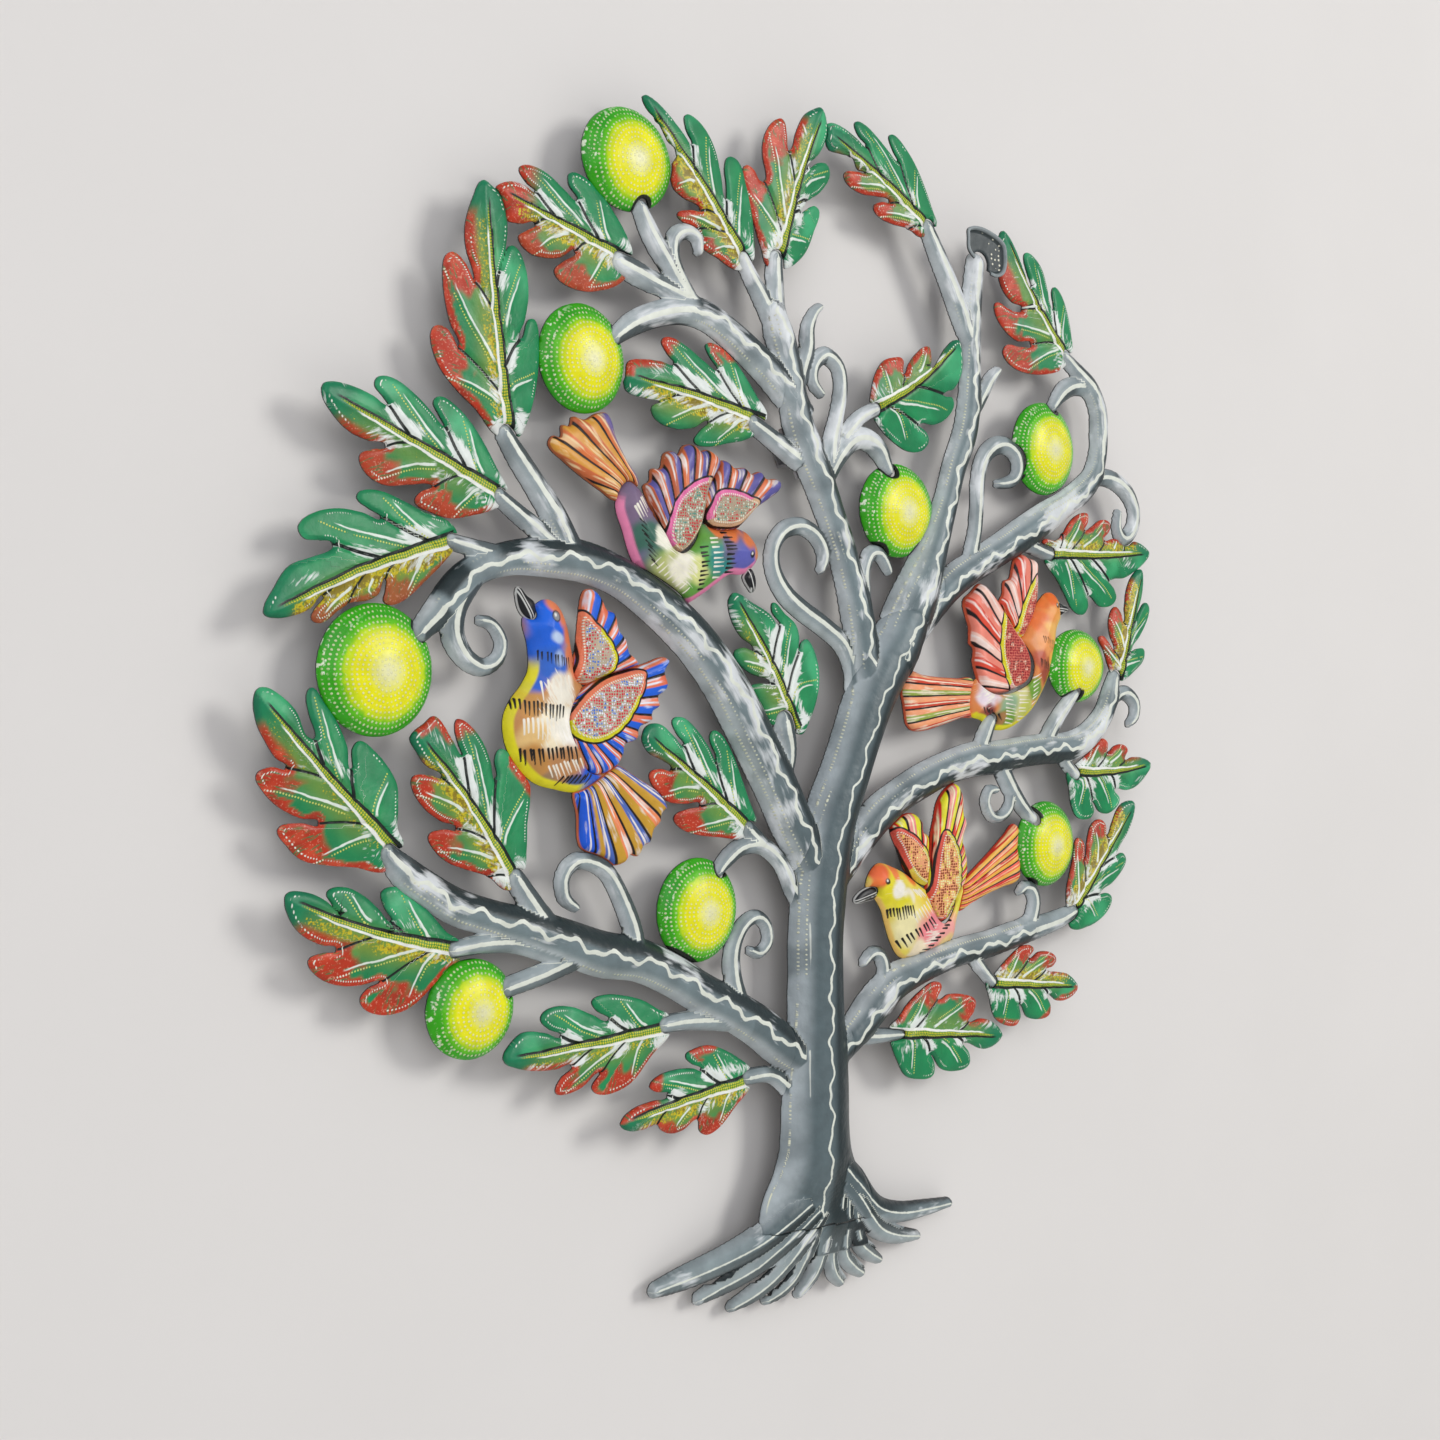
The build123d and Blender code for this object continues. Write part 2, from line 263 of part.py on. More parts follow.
WOOD = {
    "limb_upper_left": [
        [(10, -96, 10), (3, -80, 12), (-8, -62, 13), (-18, -45, 13), (-29, -28, 13), (-41, -10, 13),
         (-53, 6, 12.5), (-67, 21, 12), (-82, 33, 11.5), (-98, 43, 10.5), (-116, 52, 9.5), (-136, 57.5, 9.5),
         (-156, 58.5, 9), (-176, 57, 7.5), (-192, 52, 7), (-203, 44, 7.5), (-212, 34, 7), (-222, 24, 5)],
        [(-180, 57, 5), (-197, 60.5, 4), (-207, 62.5, 3.5)],
        [(-142, 60, 7), (-152, 76, 7), (-162, 89, 6), (-172, 101, 5.5), (-179, 110, 4.5)],
        [(-150, 62, 6), (-160, 69, 5), (-171, 76, 4.5), (-182, 83, 4)],
        [(-196, 48, 6), (-204, 36, 6), (-206, 24, 6), (-200, 14, 5), (-191, 9.5, 4), (-183, 13, 3.5),
         (-181, 21, 3.3), (-186, 28, 3), (-192, 29.5, 2.4)],
        [(-12, -42, 4), (-9, -30, 5), (-12, -20, 7), (-13, -14, 6)]],
    "limb_lower_left": [
        [(6, -182, 10), (-14, -171, 11), (-30, -160, 10.5), (-48, -150, 10), (-66, -141, 10), (-84, -131, 10),
         (-104, -122.5, 10), (-126, -118, 10.5), (-146, -111, 10), (-166, -104, 9), (-186, -98, 8),
         (-204, -92, 8), (-218, -84, 7.5), (-230, -76, 7), (-238, -68, 4.5)],
        [(-150, -116, 6), (-172, -109.5, 5), (-190, -108.5, 4.5), (-206, -110, 3.5)],
        [(-140, -118, 6), (-158, -124, 5), (-178, -128.5, 4.5)],
        [(-156, -105, 7), (-165, -93, 6), (-173, -82, 5)],
        [(-106, -118, 6), (-108, -107, 5.5), (-114, -94, 5), (-122, -82, 4.5), (-132, -76.5, 4),
         (-141, -76, 4), (-147.5, -82, 4), (-147, -91, 3.5), (-141, -96, 2.4)],
        [(-42, -148, 6), (-46, -135, 5.5), (-46, -122, 5), (-40, -111.5, 4), (-31, -107.5, 3.5),
         (-24.5, -112, 3.5), (-23.5, -120, 3.3), (-29, -125, 3), (-35, -123.5, 2.4)],
        [(-48, -155, 6), (-66, -153.5, 5), (-78, -153, 4.5), (-89, -153.5, 4)],
        [(-4, -198, 6), (-15, -188, 4.5), (-24, -184, 4), (-37, -184, 4)]],
    "twig_middle_left": [
        [(2, -108, 6), (-7, -95, 5), (-15, -82, 4.5), (-27, -73.5, 4.5), (-40, -73.5, 4.5), (-50, -79, 4.5),
         (-55.5, -84, 3.5)],
        [(-28, -73, 5), (-36, -66, 5)]],
    "limb_crown": [
        [(44, 8, 11), (41, 28, 11), (37, 45, 10.5), (32, 60, 9.5), (26, 75, 9.5), (19, 90, 9.5), (12, 104, 10),
         (4, 118, 10.5), (-3, 132, 10), (-7, 145, 9.5), (-10, 158, 9), (-15, 172, 9.5), (-20, 184, 8)],
        [(-20, 178, 6), (-27, 190, 5.5), (-34, 199, 4.8), (-40, 207, 4)],
        [(-18, 178, 6.5), (-18.5, 193, 6), (-18.5, 210, 5)],
        [(-2, 114, 6), (-14, 120, 5.5), (-26, 126, 5), (-33, 129, 4.5)],
        [(14, 104, 5), (19, 112, 5), (20, 124, 5.5), (24, 138, 4.5), (27, 152, 4.5), (25, 163, 4.5),
         (16, 168, 4.5), (8, 162, 4), (7, 154, 3.5), (12.5, 148.5, 2.5)],
        [(-4, 148, 5), (0, 160, 5), (3.5, 170, 5), (4, 180, 4.2), (8, 188, 2.8), (11.5, 191, 2.3)],
        [(45, 34, 4), (44, 50, 4.2), (43.5, 62, 4.3), (47.5, 70.5, 4.3), (54.5, 71.5, 4), (59.5, 66, 3.2),
         (61, 63, 2.4)],
        [(16, 106, 5), (26, 120, 6), (36, 128, 6), (46, 129, 6), (55, 124, 6), (61, 115, 4)],
        [(28, 128, 5), (40, 139, 4), (51, 144.5, 3.8)]],
    "arm_crown_left": [
        [(0, 136, 9), (-18, 152, 9), (-33, 162, 8.5), (-48, 170.5, 8), (-64, 177, 7.5), (-80, 177, 6.5),
         (-96, 172.5, 6), (-108, 167, 5.5), (-118, 160, 4)],
        [(-62, 178, 5), (-80, 184.5, 4.5), (-95, 188, 5.5), (-108, 191.5, 6), (-116, 194, 5)],
        [(-76, 184, 4.5), (-88, 199, 5.5), (-97, 210, 5.5), (-103, 220, 4.5)],
        [(-68, 178, 4), (-77, 189, 4.2), (-83.5, 200, 4.3), (-83, 210, 4.3), (-76, 214.5, 3.8),
         (-69, 212.5, 3.5), (-68, 206.5, 2.5)]],
    "curl_crown": [
        [(35, -4, 6), (35, 12, 5.5), (28, 25, 5.5), (14, 34, 5.5), (0, 41, 5.5), (-12, 49, 5.5),
         (-19.5, 60, 5), (-19.5, 71, 4.5), (-12, 79.5, 4.5), (0, 82, 4.5), (10, 77.5, 4.5), (15, 69, 4.3),
         (12.5, 61.5, 2.5)]],
    "limb_upright": [
        [(62, 18, 17), (76, 42, 16), (86, 60, 13.5), (96, 80, 10.5), (105, 100, 8.5), (112, 120, 8.3),
         (121, 140, 8.5), (124.5, 160, 8), (125.5, 180, 7.2), (126, 200, 7), (127, 216, 7), (129, 230, 6.5)],
        [(124, 148, 5), (132, 158, 5), (141, 170, 4), (147, 175.5, 2.6)],
        [(124, 188, 6), (116, 203, 7), (107, 218, 6.5), (98, 232, 6), (91, 243, 5)]],
    "limb_right_outer": [
        [(76, 28, 9), (95, 47, 9.5), (110, 59, 9.5), (128, 69, 9), (146, 77.5, 9), (165, 87, 9.5),
         (185, 97, 9.5), (204, 107, 8), (220, 116, 8), (230, 125, 7.5), (235, 138, 7), (236, 152, 7),
         (235, 163, 7), (228, 174, 7), (219, 181, 6), (205, 190, 4)],
        [(232, 168, 6), (224, 174.5, 5.5), (213, 174.5, 5.5), (203, 170, 5.5), (194, 161, 3.5)],
        [(228, 122, 4), (240, 125.5, 5), (252, 124, 5.5), (263, 118, 5.5), (269, 109, 5), (268, 99, 5),
         (262, 92.5, 4.8), (256, 92.5, 4.2), (252.5, 98, 3.5), (253.5, 106, 2.4)],
        [(122, 66, 6), (128.5, 85, 5), (130.5, 100, 5), (131.5, 115, 5.2), (135, 126, 5.2), (143, 133.5, 5.2),
         (153, 136, 5), (162, 132, 4.8), (164.5, 124.5, 4.5), (161, 118, 3.8), (154, 115.5, 3.2),
         (147, 114.5, 2.4)],
        [(166, 86, 6), (178, 82, 4.5), (191, 79, 4)]],
    "limb_right_middle": [
        [(24, -90, 9), (39, -74, 10), (52, -62.5, 10.5), (68, -53, 9.5), (88, -44.5, 9.5), (108, -38, 9),
         (128, -34, 9.5), (148, -33, 9), (168, -30.5, 8.5), (188, -29, 8.5), (205, -28.5, 8.5),
         (220, -25, 8.5), (232, -18, 8), (241, -9, 7.5), (246, 1, 7), (250, 11, 5)],
        [(130, -32, 6), (137, -21, 5.5), (141, -14, 4.5)],
        [(186, -27, 6), (198, -13, 5), (207, -4, 4.5), (213, 1.5, 3.5)],
        [(244, -6, 4.5), (253, 1, 4), (262, 2.5, 4.5), (269.5, -3, 4.5), (269, -11, 3.8), (264, -15, 2.5)],
        [(148, -36, 6), (158, -50, 6), (168, -60, 5), (176, -67, 4)],
        [(154, -42, 4), (157.5, -52, 3.8), (156, -61, 3.5), (149, -65.5, 3.2), (141, -64, 3.2),
         (137, -57, 3.2), (140, -51, 3), (145.5, -50.5, 2.3)],
        [(200, -31, 5), (207, -38, 4), (214, -43.5, 3.5)]],
    "limb_right_lower": [
        [(18, -182, 9), (37, -169, 10), (50, -158, 11), (65, -148, 10.5), (82, -143.5, 8.5), (100, -139, 8),
         (120, -135.5, 7.5), (140, -133.5, 7.5), (158, -130.5, 7.5), (175, -128, 7), (190, -126, 6),
         (203, -123.5, 5.5), (212, -120.5, 4)],
        [(52, -158, 6), (56.5, -148, 5), (58, -139, 4.5), (55, -132.5, 4), (49, -131.5, 3.5), (43, -135.5, 2.5)],
        [(164, -128, 6), (174, -124, 5.5), (178.5, -114, 5), (176, -106.5, 4.5), (169.5, -104.5, 3.5),
         (165.5, -106.5, 2.5)],
        [(126, -138, 5), (134, -146, 4), (142, -153.5, 3.5)],
        [(36, -170, 6), (48, -173, 4.5), (62, -174, 3.5), (70, -174.5, 2.6)]],
}
STUB = [(118, 247), (126, 249), (137, 247), (145, 243), (147, 238), (146, 228), (140, 224), (131, 226),
        (122, 232), (118, 236), (117.5, 242)]


def place(x, z, height=0.0):
    """A point at a plan position, its height counted forward from the back of the sheet."""
    return Vector(x - HANGER_AT[0], -STANDOFF - height, z - HANGER_AT[1])


def unit(a, b):
    length = dist(a, b) or 1.0
    return (b[0] - a[0]) / length, (b[1] - a[1]) / length


def outline_face(points, height=-0.5):
    """A flat face inside a smooth closed outline."""
    edges, count = [], len(points)
    for i in range(count):
        before, a, b, after = (points[(i + k) % count] for k in (-1, 0, 1, 2))
        reach = HANDLE * dist(a, b)
        (ux, uz), (vx, vz) = unit(before, b), unit(a, after)
        edges.append(Edge.make_bezier(place(*a, height), place(a[0] + ux * reach, a[1] + uz * reach, height),
                                      place(b[0] - vx * reach, b[1] - vz * reach, height),
                                      place(*b, height)))
    return Face(Wire(edges))


def prism(points, low=-0.5, high=20.0):
    return Solid.extrude(outline_face(points, low), Vector(0, low - high, 0))


def smooth_line(points, spacing):
    """Catmull-Rom points through (x, z, w), each with the unit normal of the line there."""
    fine, last = [], len(points) - 1
    for i in range(last):
        p = [points[max(0, min(last, i + k))] for k in (-1, 0, 1, 2)]
        steps = max(1, ceil(dist(p[1][:2], p[2][:2]) / spacing))
        for s in range(steps + (i == last - 1)):
            t = s / steps
            fine.append([0.5 * (2 * b + (c - a) * t + (2 * a - 5 * b + 4 * c - d) * t * t
                                + (3 * b - a - 3 * c + d) * t ** 3) for a, b, c, d in zip(*p)])
    out = []
    for i, (x, z, w) in enumerate(fine):
        ux, uz = unit(fine[max(0, i - 1)][:2], fine[min(len(fine) - 1, i + 1)][:2])
        out.append((x, z, w, -uz, ux))
    return out


def rib_height(w):
    return min(RIB_HIGHEST, max(RIB_LOWEST, RIB_RISE * w))


def rib(points, spacing, base=lambda s: 0.0):
    """A hammered rib: an arched channel open at the back, and the filled arch that clears its room."""
    shells, fills = [], []
    line = smooth_line(points, spacing)
    for i, (x, z, w, nx, nz) in enumerate(line):
        high, foot = rib_height(w), base(i / (len(line) - 1))
        outer = [(u * w, v * high) for u, v in ARCH]
        inner = [(u * (w - RIM), v * (high - SHEET)) for u, v in ARCH]
        ring = [place(x + nx * u, z + nz * u, foot + v) for u, v in outer + inner[::-1]]
        shells.append(Wire.make_polygon(ring, close=True))
        fills.append(Wire.make_polygon(ring[:len(ARCH)], close=True))
    return Solid.make_loft(shells, ruled=True), Solid.make_loft(fills, ruled=True)


def root_base(s):
    """Root tips bend back towards the wall."""
    return -11.0 * s ** 2


def folded(points, base, tip):
    """A leaf: its outline cut from sheet folded along the midrib."""
    (ux, uz), reach = unit(base, tip), 45.0
    start = (base[0] - ux * 30, base[1] - uz * 30)
    section = [(-reach, LEAF_RIDGE - LEAF_SLOPE * reach), (0, LEAF_RIDGE), (reach, LEAF_RIDGE - LEAF_SLOPE * reach)]
    ring = section + [(u, v - SHEET) for u, v in section[::-1]]
    wire = Wire.make_polygon([place(start[0] - uz * u, start[1] + ux * u, v) for u, v in ring], close=True)
    length = dist(base, tip) + 60
    return Solid.extrude(Face(wire), Vector(ux * length, 0, uz * length)) & prism(points, -8)


def domed(points, centre, radius, rise, edge):
    """A region of sheet raised as a shallow dome about a plan centre."""
    ball = (radius ** 2 + (rise - edge) ** 2) / (2 * (rise - edge))
    middle = place(*centre, rise - ball)
    shell = Solid.make_sphere(ball, Plane(middle)) - Solid.make_sphere(ball - SHEET, Plane(middle))
    return shell & prism(points, -8)


def tilted(points, root, tip, low, high):
    """A flat region of sheet whose height goes from low at root to high at tip."""
    (ux, uz), span = unit(root, tip), dist(root, tip)
    rate = (high - low) / span
    ends = [(-80, low - 80 * rate), (span + 80, low + (span + 80) * rate)]
    ring = ends + [(s, v - SHEET) for s, v in ends[::-1]]
    wire = Wire.make_polygon([place(root[0] + ux * s + uz * 90, root[1] + uz * s - ux * 90, v)
                              for s, v in ring], close=True)
    return Solid.extrude(Face(wire), Vector(-uz * 180, 0, ux * 180)) & prism(points, -8)


def middle_of(points):
    return sum(p[0] for p in points) / len(points), sum(p[1] for p in points) / len(points)


taken = []     # (box, filled solid) of everything already placed: later parts are cut clear of it


def clear_of_taken(shape, name):
    box = shape.bounding_box()
    for other_box, other in taken:
        apart = any(a > d or c > b for a, b, c, d in zip(box.min, box.max, other_box.min, other_box.max))
        if not apart:
            shape = shape - other
    solids = [s for s in shape.solids() if s.volume > 12]
    if not solids:
        raise ValueError("nothing left of " + name)
    return solids


def take(filled):
    taken.append((filled.bounding_box(), filled))


def save(name, solids):
    label = solids[0] if len(solids) == 1 else Compound(children=list(solids))
    export_step(label, os.path.join("parts", name + ".step"))
    print(name, len(solids), round(sum(s.volume for s in solids)))
    totals.extend(solids)


def rib_node(name, ribs, base=lambda s: 0.0):
    solids = []
    for i, points in enumerate(ribs):
        shell, filled = rib(points, 10.0 if points[0][2] > 8 else 7.0, base)
        solids += clear_of_taken(shell, name)
        take(filled)
    save(name, solids)


def hanger():
    """A hat-shaped strap on the back of the crown limb, its bridge on the wall, its feet across the rims."""
    half, foot = 7.5, 5.5
    (ux, uz), (x, z) = STRAP_RUN, HANGER_AT

    def plate(ring, width):
        wire = Wire.make_polygon([place(x + ux * u + uz * width / 2, z + uz * u - ux * width / 2, v)
                                  for u, v in ring], close=True)
        return Solid.extrude(Face(wire), Vector(-uz, 0, ux) * width)

    strap = plate([(-half, 0), (-half, -STANDOFF), (half, -STANDOFF), (half, 0)], STRAP_WIDTH)
    strap -= plate([(-half + STRAP, 1), (-half + STRAP, -STANDOFF + STRAP), (half - STRAP, -STANDOFF + STRAP),
                    (half - STRAP, 1)], STRAP_WIDTH + 2)
    for side in (-1, 1):
        near, far = side * (half - STRAP), side * (half + foot)
        strap += plate([(near, 0), (far, 0), (far, -STRAP), (near, -STRAP)], STRAP_FOOT)
    hole = Solid.make_cylinder(HOLE_R, 10, Plane(origin=(0, 5, 0), z_dir=(0, -1, 0)))
    return (strap - hole).solids()


os.makedirs("parts", exist_ok=True)
totals = []
rib_node("trunk", [TRUNK])
for name, ribs in ROOTS.items():
    rib_node(name, ribs, root_base)
for name, ribs in WOOD.items():
    rib_node(name, ribs)

stub = tilted(STUB, (118, 236), (146, 236), 8.0, 10.0)
save("stub_cap", clear_of_taken(stub, "stub_cap"))
take(prism(STUB))
for name, (x, z, rx, rz) in FRUITS.items():
    ring = [(x + rx * u, z + rz * v) for u, v in ((1, 0), (0.7071, 0.7071), (0, 1), (-0.7071, 0.7071), (-1, 0),
                                                  (-0.7071, -0.7071), (0, -1), (0.7071, -0.7071))]
    save(name, clear_of_taken(domed(ring, (x, z), max(rx, rz), FRUIT_RISE, FRUIT_EDGE), name))
    take(prism(ring, -8))
for bird, cut in BIRDS.items():
    centre = middle_of(cut["body"])
    for wing in ("near_wing", "far_wing"):
        root, tip = centre, middle_of(cut[wing])
        save(bird + "_" + wing, clear_of_taken(tilted(cut[wing], root, tip, 4.5, WING_RISE), bird))
        take(prism(cut[wing], -8))
    beak = clear_of_taken(tilted(cut["beak"], centre, middle_of(cut["beak"]), 5.0, 3.0), bird)
    take(prism(cut["beak"], -8))
    body = clear_of_taken(domed(cut["body"], centre, 42, BODY_RISE, 2.0), bird)
    take(prism(cut["body"], -8))
    tail = clear_of_taken(tilted(cut["tail"], centre, middle_of(cut["tail"]), 4.5, 3.0), bird)
    take(prism(cut["tail"], -8))
    save(bird + "_body", beak + body + tail)
for name, (base, tip, points) in LEAVES.items():
    save(name, clear_of_taken(folded(points, base, tip), name))
    take(prism(points, -8))
save("hanger_strap", hanger())

weight = sum(s.volume for s in totals)
print("balance", [round(sum(s.volume * tuple(s.center())[i] for s in totals) / weight, 2) for i in (0, 1, 2)])
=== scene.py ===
"""Painted steel tree-of-life wall disc: the chased and hand-painted surface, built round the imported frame.

Plan positions are in mm from the centre of the disc, x to the right and z up, as in the part's source.
Heights are in mm forward from the back of the flat sheet.
"""
import math

import bpy
import numpy as np
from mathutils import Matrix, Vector


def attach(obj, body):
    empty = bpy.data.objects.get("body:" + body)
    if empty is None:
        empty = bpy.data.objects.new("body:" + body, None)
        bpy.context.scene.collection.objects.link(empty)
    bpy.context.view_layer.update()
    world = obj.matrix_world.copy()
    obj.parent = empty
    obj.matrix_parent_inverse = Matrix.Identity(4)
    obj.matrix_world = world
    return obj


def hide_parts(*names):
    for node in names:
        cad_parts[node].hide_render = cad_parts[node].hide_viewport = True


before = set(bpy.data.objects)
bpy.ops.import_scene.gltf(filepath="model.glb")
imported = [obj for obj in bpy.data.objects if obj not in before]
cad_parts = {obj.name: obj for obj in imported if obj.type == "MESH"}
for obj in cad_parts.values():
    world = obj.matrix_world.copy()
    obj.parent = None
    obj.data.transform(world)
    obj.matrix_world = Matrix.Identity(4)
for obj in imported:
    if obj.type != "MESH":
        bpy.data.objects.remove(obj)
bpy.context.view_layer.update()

MM = 0.001
SHEET = 1.2              # steel thickness
STANDOFF = 16.0          # wall to the back of the flat sheet
HANGER_AT = (2.2, 121.6)   # nail hole, from the centre of the disc
DISC_REACH = 306         # half size of the whole-disc grid
GRID, FINE_GRID = 1.0, 0.5   # grid steps: wood, leaves and fruits; birds and the stub
NO_METAL, FAR = -50.0, 200.0   # height where there is none, and distance where nothing is near
EDGE_LEVEL = 1.7         # painted face at a cut or chased edge
EDGE_WEAR = 0.45         # how much lower the face is right at a cut
RIB_RISE = 0.92          # rib height per half width
RIB_HIGHEST, RIB_LOWEST = 13.5, 4.8
RIB_REACH, RIB_SKIRT = 46, 3   # a rib is worked out this far round its centre line, and past its rim
THIN_RIB, BIG_RIB = 6.6, 7.6   # half widths: plain crest line below the first, wave and dots above the second
ROOT_LEAD, ROOT_DROP = 15.0, 11.0   # roots start this far inside the trunk; tips bend this far back
TRUNK_FOOT = 16.0        # the trunk's swell runs this far down among the roots
FOOT_FROM, FOOT_TO = -243, -256   # the bark's paint gives way to the roots' between these heights
DARK_SIDE = (0.98, 0.05)   # flanks that face this way are painted dark
LEAF_RIDGE, LEAF_SLOPE = 5.6, 0.14
MIDRIB, MIDRIB_TAPER = 2.3, 1.7   # half width of a leaf's midrib band at its base, less this at its tip
LEAF_GROOVE, MIDRIB_CUT, LEAF_BEAD = 1.1, 0.8, 0.3   # chased lines in a leaf, and its raised veins
DOT_RING = 2.2           # pitch of the rings of dots on a fruit
FRUIT_TOP = 9.6
STUB_LIP, STUB_DISH = 8.5, 2.6   # the sawn end's lip, and how far its face lies below it
WING_LEVELS = {"near_wing": 5.6, "far_wing": 4.4}
TAIL_LEVEL = 3.6
FEATHER_RISE, PATCH_RISE = 1.1, 1.6   # above the level of a wing or tail
BODY_RISE, BREAST_RISE, BEAK_RISE = 6.6, 0.8, 1.6   # above the cut edge
NO_TOP = 999             # a painted hem that goes all the way up
HANDLE = 0.33            # Bezier handle per chord, as part.py cuts its outlines

